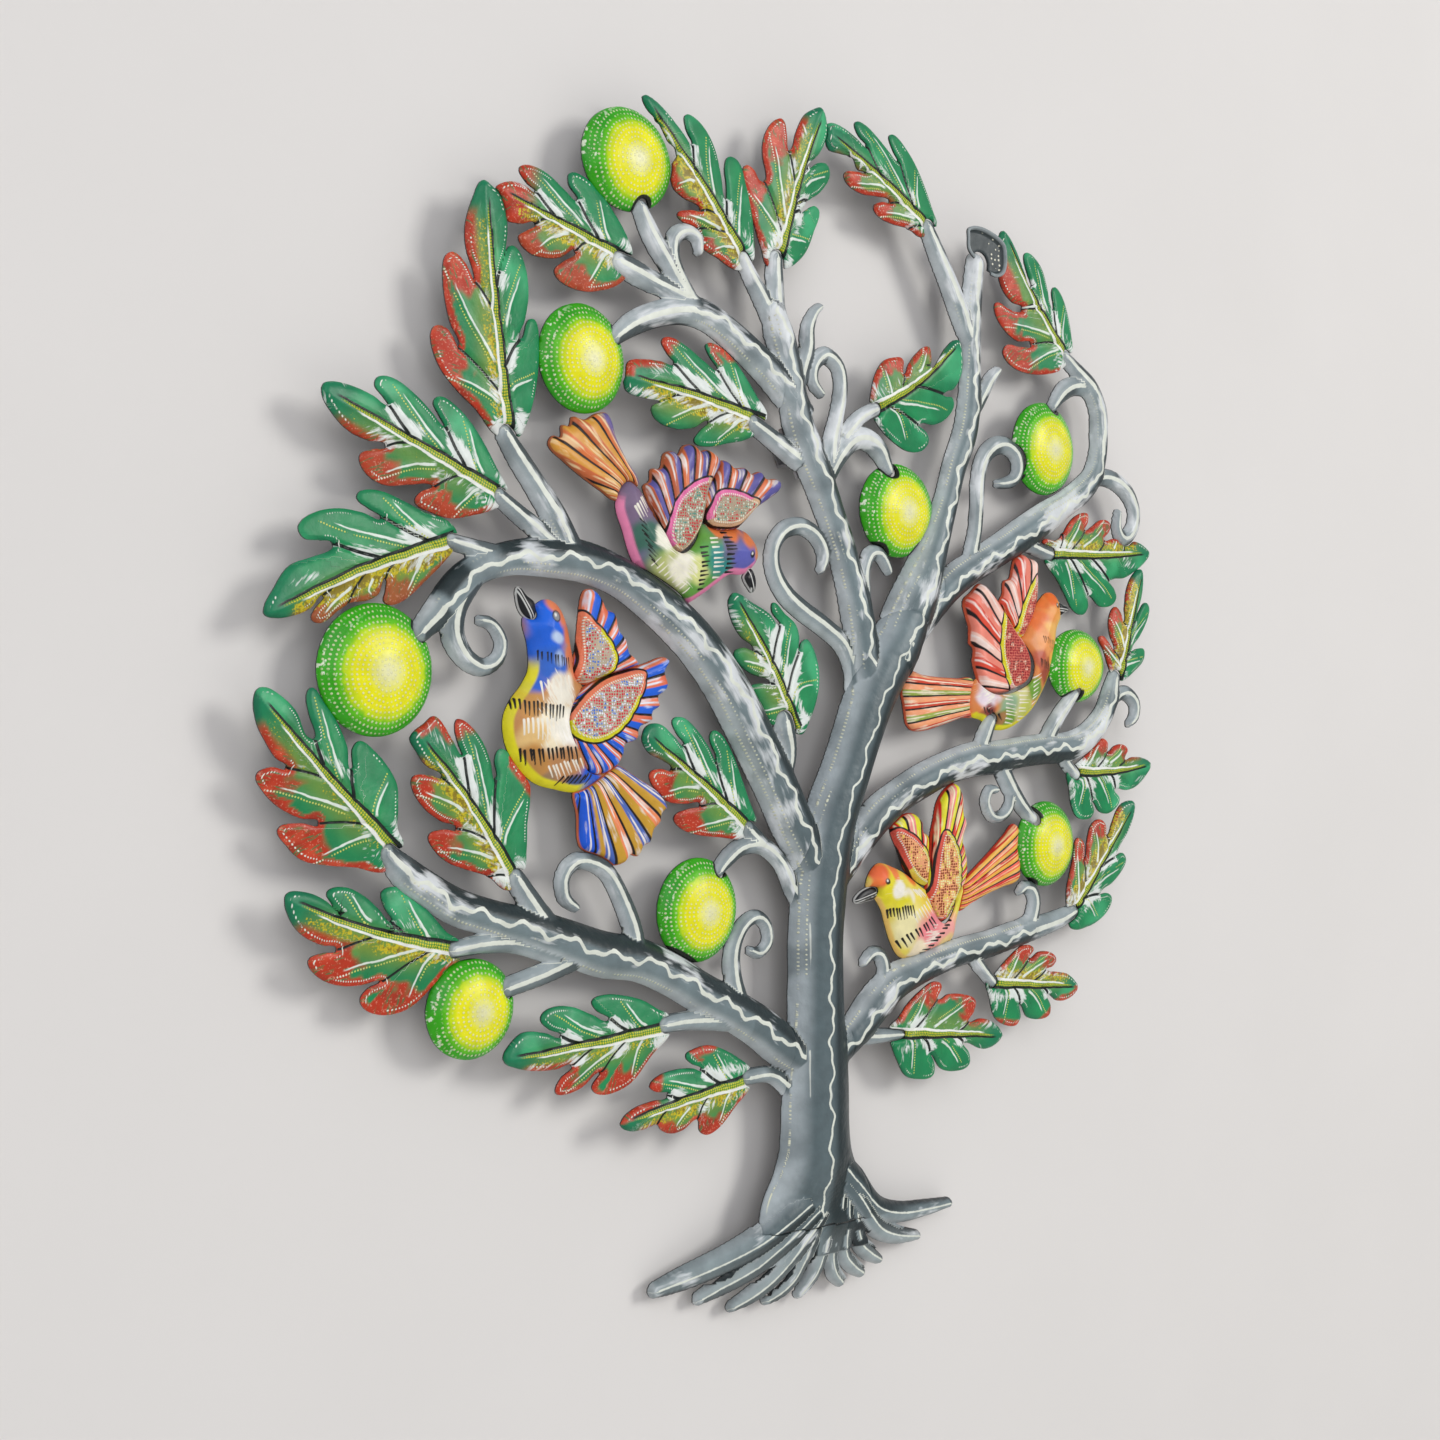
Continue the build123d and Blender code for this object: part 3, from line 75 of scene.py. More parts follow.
# Leaves: base and tip of the midrib, then the cut outline in order round the leaf.
LEAVES = {
    "leaf_01": ((-36, -184), (-115, -195),
        [(-36, -180), (-43, -174), (-52, -169), (-61, -166), (-71, -167), (-75.5, -169.5), (-72, -173.5),
         (-66, -177), (-72, -175.5), (-82, -175), (-92, -176.5), (-98, -180.5), (-95, -183.5), (-87, -186),
         (-97, -187.5), (-108, -189.5), (-116, -195), (-112, -199), (-103, -199.8), (-94, -198.5),
         (-91.5, -201.5), (-86, -204), (-78, -203.5), (-69, -199.5), (-67, -205.5), (-62, -208), (-54, -205),
         (-46, -197.5), (-36, -188)]),
    "leaf_02": ((-87, -154), (-180, -159),
        [(-87, -149.5), (-94, -145.5), (-102, -141), (-112, -138), (-123, -136.5), (-131, -138.5),
         (-129, -143), (-122, -148), (-132, -144.5), (-143, -140), (-154, -139.5), (-160, -143.5),
         (-156, -148.5), (-149, -152.5), (-158, -150), (-169, -148.5), (-176, -152), (-181, -159),
         (-174, -163.5), (-163, -166), (-152, -166.5), (-143, -166), (-149, -171), (-151.5, -177),
         (-146, -178.5), (-137, -176.5), (-126.5, -170.5), (-131, -177), (-127, -181), (-117, -181),
         (-107, -177), (-97, -166.5), (-87, -158)]),
    "leaf_03": ((-203, -110), (-286, -84),
        [(-203, -107), (-210, -102), (-217, -94.5), (-225, -86.5), (-233, -82), (-241, -83.5), (-240, -90),
         (-237, -96), (-243, -90.5), (-250, -84.5), (-259, -80.5), (-267, -82), (-265, -87), (-261, -91.5),
         (-268, -85.5), (-277, -81.5), (-286, -82), (-285, -90), (-279, -98), (-270, -103), (-262, -105.5),
         (-269, -106.5), (-275, -109), (-271, -115.5), (-262, -120), (-251, -121), (-241, -120),
         (-247, -122.5), (-250.5, -127), (-247, -132), (-238, -134.5), (-227, -132.5), (-217, -125),
         (-209, -117), (-203, -113.5)]),
    "leaf_04": ((-234, -68), (-299, -3),
        [(-231.5, -64), (-234, -58), (-233.5, -49), (-233.5, -40), (-238, -32), (-245, -25), (-251, -21.5),
         (-255, -25), (-256, -33), (-257.5, -24), (-262, -14), (-268, -6), (-273, 0), (-276, -3), (-275, -11),
         (-272.5, -20), (-277, -19), (-281, -10), (-288, -3.5), (-296, 0), (-300, -3), (-299, -13),
         (-295, -21), (-290, -28), (-285, -32), (-292, -31.5), (-298, -34.5), (-295, -41), (-288, -47.5),
         (-279, -52), (-270, -54.5), (-279, -54), (-288, -56), (-284, -63), (-277, -69), (-266, -71.5),
         (-253, -73), (-241, -75.5), (-236, -71)]),
    "leaf_05": ((-174, -83), (-225, -19),
        [(-170, -80), (-168, -70), (-167, -58), (-165, -48), (-165, -41), (-171, -34), (-176, -27.5),
         (-181, -25.5), (-184, -30), (-184, -38.5), (-186.5, -31), (-190, -23), (-196, -16), (-203, -12.5),
         (-205, -16), (-203.5, -23), (-201.5, -28.5), (-207, -21), (-215, -11.5), (-221, -14.5), (-228, -20),
         (-225, -26), (-220, -32), (-212, -37), (-219, -36), (-226, -36.5), (-226, -42), (-220, -50),
         (-212, -55.5), (-204, -59), (-211, -59), (-217.5, -61), (-216, -66), (-209, -72.5), (-199, -76.5),
         (-188, -80), (-178, -86.5)]),
    "leaf_06": ((-206, 64), (-295, 29),
        [(-205, 67), (-211, 71.5), (-220, 73.5), (-230, 77.5), (-241, 81), (-250, 80.5), (-252, 77),
         (-247, 73.5), (-241, 69.5), (-250, 71.5), (-261, 72.5), (-272, 70), (-279, 64.5), (-277, 59.5),
         (-270, 59), (-264, 58.5), (-265, 55.5), (-274, 52), (-284, 48), (-291, 39), (-296, 29), (-291, 27),
         (-282, 28.5), (-275, 31.5), (-269, 37), (-273, 31), (-274, 27), (-269, 26), (-262, 31), (-256, 34.5),
         (-249, 35.5), (-243, 38.5), (-240, 45.5), (-239.5, 40), (-240, 35.5), (-235, 34.5), (-228, 38),
         (-220, 45), (-212, 52.5), (-205, 61)]),
    "leaf_07": ((-180, 83), (-269, 119),
        [(-178, 85), (-184, 95), (-190, 105), (-197, 114), (-205, 120.5), (-212, 123), (-215.5, 120),
         (-213, 115), (-210.5, 110), (-217, 116), (-225, 122.5), (-234, 127.5), (-242, 128), (-244.5, 124),
         (-241, 120), (-238.5, 116), (-246, 119.5), (-257, 122.5), (-268, 122.5), (-270, 118), (-265, 110.5),
         (-257, 104), (-248, 101), (-239, 99.5), (-246, 97.5), (-251.5, 94.5), (-248, 87.5), (-239, 83.5),
         (-228, 84.5), (-216, 85), (-222, 82), (-224.5, 77.5), (-217, 74), (-207, 72), (-196, 74), (-186, 77),
         (-179, 81)]),
    "leaf_08": ((-178, 110), (-191, 215),
        [(-173, 109), (-168, 116), (-164, 126), (-161.5, 137), (-160.5, 150), (-162, 161), (-166.5, 161),
         (-171.5, 152), (-168.5, 161), (-166.5, 171), (-167.5, 182), (-172, 190.5), (-177, 191.5),
         (-180.5, 185), (-183, 180), (-179.5, 190), (-178.5, 201), (-182, 212), (-187, 215.5), (-192, 217),
         (-196, 210), (-200, 197), (-199.5, 187), (-195.5, 174), (-200, 180.5), (-206, 184.5), (-210, 181),
         (-210, 168), (-207, 155), (-202.5, 145), (-208, 151.5), (-214, 152.5), (-216, 147), (-212, 136),
         (-204, 127), (-194, 119), (-184, 109)]),
    "leaf_09": ((-110, 195), (-183, 214),
        [(-109, 199), (-113, 208), (-119, 216), (-127, 224), (-135, 229), (-143, 229.5), (-144, 224),
         (-139.5, 217.5), (-147, 221), (-156, 226.5), (-166, 228.5), (-171.5, 226), (-168, 220.5),
         (-163, 217), (-170, 219), (-178, 219), (-185, 214.5), (-182.5, 206.5), (-179, 202.5), (-171, 202),
         (-163, 203.5), (-168, 199.5), (-172, 196), (-166, 190.5), (-157, 189.5), (-149, 191), (-141, 195),
         (-148, 189), (-152, 184.5), (-147, 180), (-136, 178), (-125, 180), (-116, 184), (-111, 190)]),
    "leaf_10": ((-38, 205), (-102, 270),
        [(-34, 207), (-33, 218), (-34, 230), (-37, 243), (-41, 253), (-48, 254.5), (-51, 249), (-50.5, 240),
         (-52, 233), (-54, 243), (-57, 255), (-62, 263), (-69, 268), (-76, 268.5), (-76, 262), (-72.5, 255),
         (-78, 259), (-87, 266), (-96, 271), (-103, 271.5), (-101, 266.5), (-94, 261.5), (-88, 254),
         (-82, 249.5), (-85, 243), (-84, 234), (-77, 229.5), (-67, 226), (-74, 224.5), (-80.5, 222),
         (-77, 218.5), (-70, 216.5), (-65, 208.5), (-56, 205), (-46, 201), (-39, 202)]),
    "leaf_11": ((-18, 208), (11, 287),
        [(-12, 206.5), (-4, 211), (3, 218), (8, 228), (12, 238), (8, 240.5), (2, 237.5), (-2, 235.5),
         (3, 242), (12, 248), (19, 257), (17, 262.5), (10, 262), (3, 259), (9, 265), (14, 272), (16, 280),
         (12, 289),
         (6, 287.5), (0, 283), (-5, 274), (-9.5, 264.5), (-11, 272), (-13, 279), (-19, 277), (-24.5, 269),
         (-26, 260), (-24, 248.5), (-28, 246.5), (-32, 251.5), (-37, 252.5), (-38, 246), (-35.5, 236),
         (-32, 225), (-28, 214), (-24, 206)]),
    "leaf_12": ((93, 242), (16, 278),
        [(97, 245), (94, 253), (89, 264), (83, 274), (76, 281.5), (68, 287), (63, 286), (65.5, 279),
         (69, 273.5), (61, 278), (53, 283.5), (44, 288), (37, 287.5), (39, 281.5), (45, 276.5), (37, 279.5),
         (27, 283), (17, 283), (15, 277.5), (17, 270.5), (26, 269.5), (34, 269), (38, 264), (45, 263.5),
         (36, 262.5), (29, 260.5), (32, 255.5), (42, 252.5), (53, 253), (62, 252), (55, 250.5), (50.5, 247.5),
         (55, 243), (65, 241), (76, 240.5), (85, 237.5), (91, 240.5)]),
    "leaf_13": ((-27, 131), (-113, 143),
        [(-25, 134), (-31, 142), (-38, 151), (-46, 159), (-55, 164), (-62.5, 163.5), (-60, 157.5),
         (-56, 152), (-64, 155), (-74, 160.5), (-84, 164), (-90, 162), (-87, 156), (-83, 151.5), (-92, 152),
         (-103, 151.5), (-111, 149.5), (-114, 142), (-112, 136), (-102, 134), (-91, 134), (-85, 136),
         (-92, 133), (-97, 130), (-93, 124.5), (-82, 122), (-71, 123.5), (-62, 127.5), (-67, 122.5),
         (-70, 117), (-62, 115.5), (-50, 118), (-38, 121), (-28, 127)]),
    "leaf_14": ((49, 144), (113, 186),
        [(47, 147), (49, 156), (52, 163), (58, 170), (66, 173), (72, 172.5), (72, 165), (76, 170.5),
         (83, 177.5), (91, 181.5), (92.5, 176), (93, 170.5), (98, 175.5), (104, 182.5), (113, 187.5),
         (117, 180), (117.5, 171), (112, 162), (104, 158), (111, 157), (112.5, 152.5), (107, 146),
         (97, 141.5), (85, 140.5), (91, 137), (93.5, 132.5), (88, 127), (77, 126), (66, 129.5), (57, 134),
         (50, 140)]),
    "leaf_15": ((206, 188), (150, 249),
        [(210, 193), (210, 203), (207.5, 215), (203, 224), (197, 228), (194, 225), (194.5, 214.5),
         (191, 217), (189, 226), (185, 236), (178, 241.5), (171, 243), (168.5, 239.5), (171, 232),
         (174, 224), (168, 231), (161, 242), (154, 249.5), (149, 251), (146.5, 244), (147, 231),
         (151, 221), (159, 214.5), (168, 211.5), (158, 210), (147, 212.5), (147.5, 206), (155, 198.5),
         (165, 194), (176.5, 193.5), (166, 191), (157, 191), (154.5, 186), (162, 180), (174, 177.5),
         (189, 178.5), (202, 183)]),
    "leaf_16": ((188, 79), (279, 84),
        [(185, 86), (195, 86.5), (202, 90), (208, 96.5), (216, 102), (226, 104), (226, 99), (223, 94.5),
         (230, 97), (238, 101), (246, 100), (245, 95), (240, 90), (249, 91), (258, 89.5), (268, 90.5),
         (276, 88.5), (281, 84), (277, 78.5), (268, 73), (259, 69), (246, 66.5), (250.5, 62), (253, 57),
         (248, 52.5), (238, 52), (227, 57.5), (227.5, 51), (223, 46.5), (214, 49), (206, 57), (197, 66),
         (187, 74)]),
    "leaf_17": ((253, 11), (273, 73),
        [(249, 11), (244, 18), (240.5, 27), (236.5, 33.5), (240, 35), (244.5, 31.5), (249.5, 27),
         (246, 36), (245.5, 45), (250.5, 52), (255, 49), (258, 43), (259, 52), (261, 62), (266, 70.5),
         (273, 74.5), (275.5, 68), (274, 58), (268.5, 45.5), (273, 50.5), (279, 55.5), (283.5, 52.5),
         (281, 44.5), (273.5, 35.5), (265, 27.5), (272, 28.5), (279, 28), (278.5, 22), (270, 16),
         (256, 9.5)]),
    "leaf_18": ((208, -42), (281, -39),
        [(206, -41), (214, -37.5), (222, -33.5), (231, -27.5), (239, -23.5), (244, -26), (243.5, -31),
         (250, -28), (257, -27), (262, -30), (259, -35.5), (266, -34.5), (275, -35), (282.5, -39),
         (278, -46), (270, -51.5), (261, -53.5), (250, -53), (255, -58), (253.5, -62.5), (245, -66.5),
         (237, -65), (229.5, -59), (232, -65), (228, -69), (218, -68), (212, -62), (208, -51)]),
    "leaf_19": ((209, -122), (265, -62),
        [(206, -120), (206, -109), (209, -100), (213, -90), (215.5, -81), (219, -79.5), (222.5, -84),
         (222, -92), (225, -82), (229, -73), (236, -69.5), (241, -72.5), (242, -79), (247, -72),
         (253, -63.5), (260, -60), (266.5, -60.5), (267, -67), (262, -77), (250, -91), (257, -89.5),
         (261.5, -94), (257, -100.5), (248, -106.5), (236.5, -111.5), (244, -112), (249, -115.5),
         (246, -121.5), (237, -127), (225, -130), (211, -130)]),
    "leaf_20": ((138, -154), (213, -162),
        [(137, -153), (144, -149.5), (151, -145), (160, -140), (169, -136.5), (178, -138.5), (174, -143.5),
         (182, -141), (191, -141.5), (197, -145.5), (193.5, -149.5), (188, -151), (197, -153), (206, -155),
         (213, -160.5), (213.5, -165), (206, -169), (197, -169), (188, -165), (191.5, -171), (191, -176.5),
         (182, -178), (172, -175.5), (165, -168), (166.5, -175), (163, -179.5), (153, -178), (145, -173),
         (140, -163)]),
    "leaf_21": ((58, -173), (147, -183),
        [(60, -171), (68, -166), (76, -159.5), (86, -154), (97, -150), (103, -152.5), (99.5, -159),
         (108, -157.5), (119, -158.5), (129, -162.5), (127, -168.5), (122.5, -173), (132, -172.5),
         (141, -175), (148.5, -182), (145, -187), (134, -189), (118, -184), (123, -190), (123.5, -196.5),
         (114, -198.5), (102, -196), (92, -186), (96, -192.5), (95.5, -199), (85, -199.5), (75, -196.5),
         (68, -188), (62, -178)]),
    "leaf_22": ((-5, -17), (-48, 46),
        [(-1, -20), (5, -12), (10, -3), (12.5, 7), (11, 18), (5, 26.5), (0, 25), (-2, 21), (-1.5, 28),
         (-4, 34), (-11, 38.5), (-19, 44), (-20.5, 39.5), (-15, 33), (-23, 38.5), (-34, 43), (-46, 47.5),
         (-50, 44), (-48, 35), (-42, 27), (-33, 20.5), (-40, 21.5), (-45.5, 19), (-42, 13.5), (-34, 9),
         (-22, 5), (-30, 4.5), (-37, 2), (-36, -4), (-31, -12), (-22, -15), (-10, -17)]),
    "leaf_23": ((-35, -66), (-102, -19),
        [(-32, -62), (-36.5, -51), (-41, -40), (-46, -29), (-52, -20.5), (-58, -18), (-60.5, -22),
         (-57, -32), (-62, -25.5), (-69, -17.5), (-77, -12), (-84, -13), (-82, -19), (-77.5, -25),
         (-84, -20.5), (-92, -15), (-100, -15.5), (-103.5, -21), (-99, -28), (-91, -31.5), (-85, -36),
         (-92, -35.5), (-98, -37.5), (-95, -44), (-87, -50.5), (-77, -52), (-67, -52.5), (-75, -54.5),
         (-82.5, -58), (-78, -63.5), (-67, -67), (-54, -68.5), (-42, -70), (-35, -69)]),
}
# Fruits: centre (x, z), half width, half height.
FRUITS = {
    "fruit_1": (-110.5, 241.5, 26, 23.5), "fruit_2": (-136.5, 148, 24, 24.5),
    "fruit_3": (-243.5, 7.5, 27.5, 27.5), "fruit_4": (-196.5, -136, 22.5, 21.5),
    "fruit_5": (-68, -102, 24.5, 24.5), "fruit_6": (68.5, 94.5, 27, 24), "fruit_7": (187, 137, 26, 25.5),
    "fruit_8": (216, 17.5, 24.5, 20.5), "fruit_9": (188.5, -81.5, 24.5, 23.5),
}
# Birds: cut outlines of the near wing, far wing, beak, body with head, and tail.
BIRDS = {
    "bird_purple": {
        "near_wing": [(-90, 72), (-94, 79), (-99, 88), (-101, 94), (-97.5, 96.5), (-96.5, 102), (-91, 103),
                      (-89, 109.5), (-84, 111.5), (-80.5, 110), (-77, 114.5), (-71, 115.5), (-67, 113),
                      (-62, 114), (-56, 111), (-55, 107), (-59, 101), (-63, 94), (-65, 85), (-68, 76),
                      (-74, 68), (-81, 64), (-87, 66)],
        "far_wing": [(-62, 78), (-64, 88), (-62, 97), (-58, 104), (-54, 109.5), (-49, 109.5), (-45, 107),
                     (-38, 107.5), (-34, 105), (-28, 106.5), (-24, 103.5), (-16, 103.5), (-15, 99), (-22, 94),
                     (-31, 88.5), (-38, 82), (-45, 77.5)],
        "beak": [(-37.5, 57.5), (-34.5, 60), (-31.5, 57), (-30.5, 52), (-32.5, 48), (-36, 50.5), (-39, 55)],
        "body": [(-64, 79), (-50, 78.5), (-38, 77), (-31, 71.5), (-29.5, 65), (-34, 59.5), (-40, 56.5),
                 (-48, 56), (-56, 51.5), (-66, 45.5), (-77, 40.5), (-86, 42), (-97, 49), (-107, 59),
                 (-113, 73), (-117, 85), (-111, 95), (-103, 92), (-95, 82), (-84, 79)],
        "tail": [(-117, 86), (-126, 90), (-137, 95.5), (-147, 101.5), (-155, 107.5), (-153, 112),
                 (-148.5, 112), (-148, 117), (-143.5, 117.5), (-142, 121.5), (-135, 121), (-128, 124.5),
                 (-121.5, 124.5), (-117, 114), (-111, 105), (-104, 95.5), (-108, 90)],
    },
    "bird_blue": {
        "near_wing": [(-148, -13), (-145, -6), (-137, 1), (-126, 6), (-113, 9.5), (-100, 13), (-90, 16),
                      (-86.5, 14.5), (-89, 9), (-87.5, 3.5), (-89, 0), (-93, -2.5), (-92.5, -7),
                      (-96.5, -9.5), (-97, -13.5), (-104, -16.5), (-106, -22), (-113, -24.5), (-114, -29),
                      (-118, -34), (-127, -37.5), (-136, -35.5), (-141, -28), (-146, -21)],
        "far_wing": [(-142, 8), (-140, 20), (-138.5, 33), (-136, 44), (-131, 45.5), (-126, 42), (-123, 37),
                     (-118, 35), (-116, 28), (-112, 24), (-110, 18), (-106, 15), (-104, 11), (-115, 6),
                     (-128, 3), (-137, 3)],
        "beak": [(-162.5, 38), (-163.5, 31), (-170, 33), (-173, 41), (-171.5, 45), (-167, 41.5)],
        "body": [(-162, 37.5), (-156, 40), (-149.5, 37), (-145, 29), (-142.5, 18), (-139, 6), (-130, -6),
                 (-123, -20), (-121, -34), (-128, -40), (-140, -45), (-152, -43.5), (-163, -40.5),
                 (-172, -33), (-178, -24), (-179.5, -13), (-176, -5), (-170, 2), (-166, 9), (-166.5, 20),
                 (-169, 31)],
        "tail": [(-141, -44), (-139.5, -55), (-138, -69), (-130, -73.5), (-120, -78.5), (-112, -77.5),
                 (-109, -74.5), (-104, -75), (-101, -70.5), (-97, -69), (-95, -63.5), (-91, -60), (-90, -56),
                 (-87, -53), (-93, -45.5), (-104, -39.5), (-117, -33), (-123, -34), (-131, -41)],
    },
    "bird_orange": {
        "near_wing": [(133, 5), (130, 11), (127.5, 18), (128, 25), (124.5, 28), (124.5, 36), (122, 42),
                      (120, 50), (126, 55), (133, 60), (140, 56.5), (147, 50.5), (152, 45), (160, 36.5),
                      (168, 29), (173, 19), (171, 9), (162, 4), (150, 1), (140, 1)],
        "far_wing": [(158, 35), (154, 44), (149, 50), (152, 55), (153, 62), (158, 64), (160, 70),
                     (163, 76.5), (169, 77.5), (173, 76), (180, 74), (180.5, 66), (180, 56), (177, 46),
                     (172, 38), (165, 31)],
        "beak": [(200, 52.5), (204, 51.5), (209, 49.5), (205, 46.5), (200.5, 45.5)],
        "body": [(178, 47), (184, 53.5), (190, 57.5), (196, 57), (200.5, 52), (202, 45), (198, 37.5),
                 (196.5, 28), (193, 16), (187, 5), (178, -6), (167, -13.5), (155, -18), (144, -18),
                 (134, -13), (126, -10.5), (125, -2), (128, 7), (140, 14), (155, 24), (168, 36)],
        "tail": [(128, 8), (115, 9), (100, 9.5), (88, 10.5), (78, 12.5), (73, 9), (71.5, 2), (73, -4),
                 (74, -9), (75.5, -15), (80, -18.5), (90, -18.5), (104, -15.5), (118, -12), (129, -10)],
    },
    "bird_yellow": {
        "near_wing": [(90, -104), (91, -94), (93, -84), (94, -74), (96.5, -65), (99, -56.5), (104, -50.5),
                      (111, -46.5), (114.5, -47.5), (117.5, -53), (118, -61), (120.5, -68), (117.5, -76),
                      (119.5, -82), (121, -91), (119, -99), (112.5, -107), (108, -115), (101, -119.5),
                      (94, -116)],
        "far_wing": [(63.5, -68.5), (68, -64.5), (74, -61.5), (81, -61.5), (86.5, -65.5), (87.5, -71),
                     (91, -73), (92, -80), (92, -90), (90, -99), (82, -96), (74, -90), (69, -80)],
        "beak": [(52, -98), (44, -98.5), (37, -103), (38, -105.5), (46, -105), (53, -103)],
        "body": [(46, -96), (49, -90), (55, -86), (64, -88), (75, -92.5), (84, -98), (92, -102), (104, -104),
                 (114, -103), (119, -101), (118, -108), (114, -119), (111, -128), (102, -133), (90, -136.5),
                 (79, -137), (70, -134.5), (64, -127), (60, -118), (57, -110), (52, -103.5), (47, -100)],
        "tail": [(119, -99), (130, -91.5), (142, -83.5), (153, -75.5), (162, -69.5), (166, -78), (166, -90),
                 (165, -100), (152, -103.5), (140, -106.5), (127, -110.5), (115, -114), (114, -106)],
    },
}
# Wood: each node is a list of hammered ribs; a rib is its centre line and half width (x, z, w).
TRUNK = [(8.5, -262, 38), (9, -250, 32), (9, -240, 28), (9.3, -228, 24.5), (9.3, -214, 23), (9.3, -198, 22.7),
         (9.3, -180, 21.5), (9.3, -160, 19), (9.2, -140, 18), (9.2, -120, 18), (11, -100, 18.5),
         (14, -80, 18.5), (20, -60, 17), (29.5, -40, 16), (38.5, -20, 16), (48, 0, 17), (58, 15, 17.5),
         (67, 26, 17)]
ROOTS = {
    "root_left": [
        [(-12, -256, 9), (-29, -264, 8), (-48, -270, 7), (-70, -275.5, 6), (-85, -279, 4)],
        [(-6, -262, 8), (-29, -276, 6.5), (-46, -283, 5.5), (-58, -288, 3.5)],
        [(2, -266, 7), (-13, -282, 5.5), (-25, -290.5, 5), (-37, -296, 3)]],
    "root_middle": [
        [(6, -266, 7), (0, -285, 5), (-7, -293, 4.5), (-14, -297, 3)],
        [(17, -266, 6), (15, -285, 5), (11, -293.5, 4.5), (8, -298, 3)],
        [(24, -262, 6), (23, -279, 4.5), (28, -290, 4.3), (37, -297.5, 3)]],
    "root_right": [
        [(30, -262, 6), (32, -280, 4.5), (41, -289, 4.3), (52, -295.5, 3)],
        [(36, -260, 6), (42, -276, 4.5), (52, -284, 4.5), (65, -291, 3)],
        [(38, -254, 8), (55, -271, 6), (73, -279, 5), (94, -284, 3)],
        [(36, -246, 9), (53, -260.5, 6.5), (73, -267, 5.5), (97, -269.5, 4.5), (119, -271, 3)]],
}
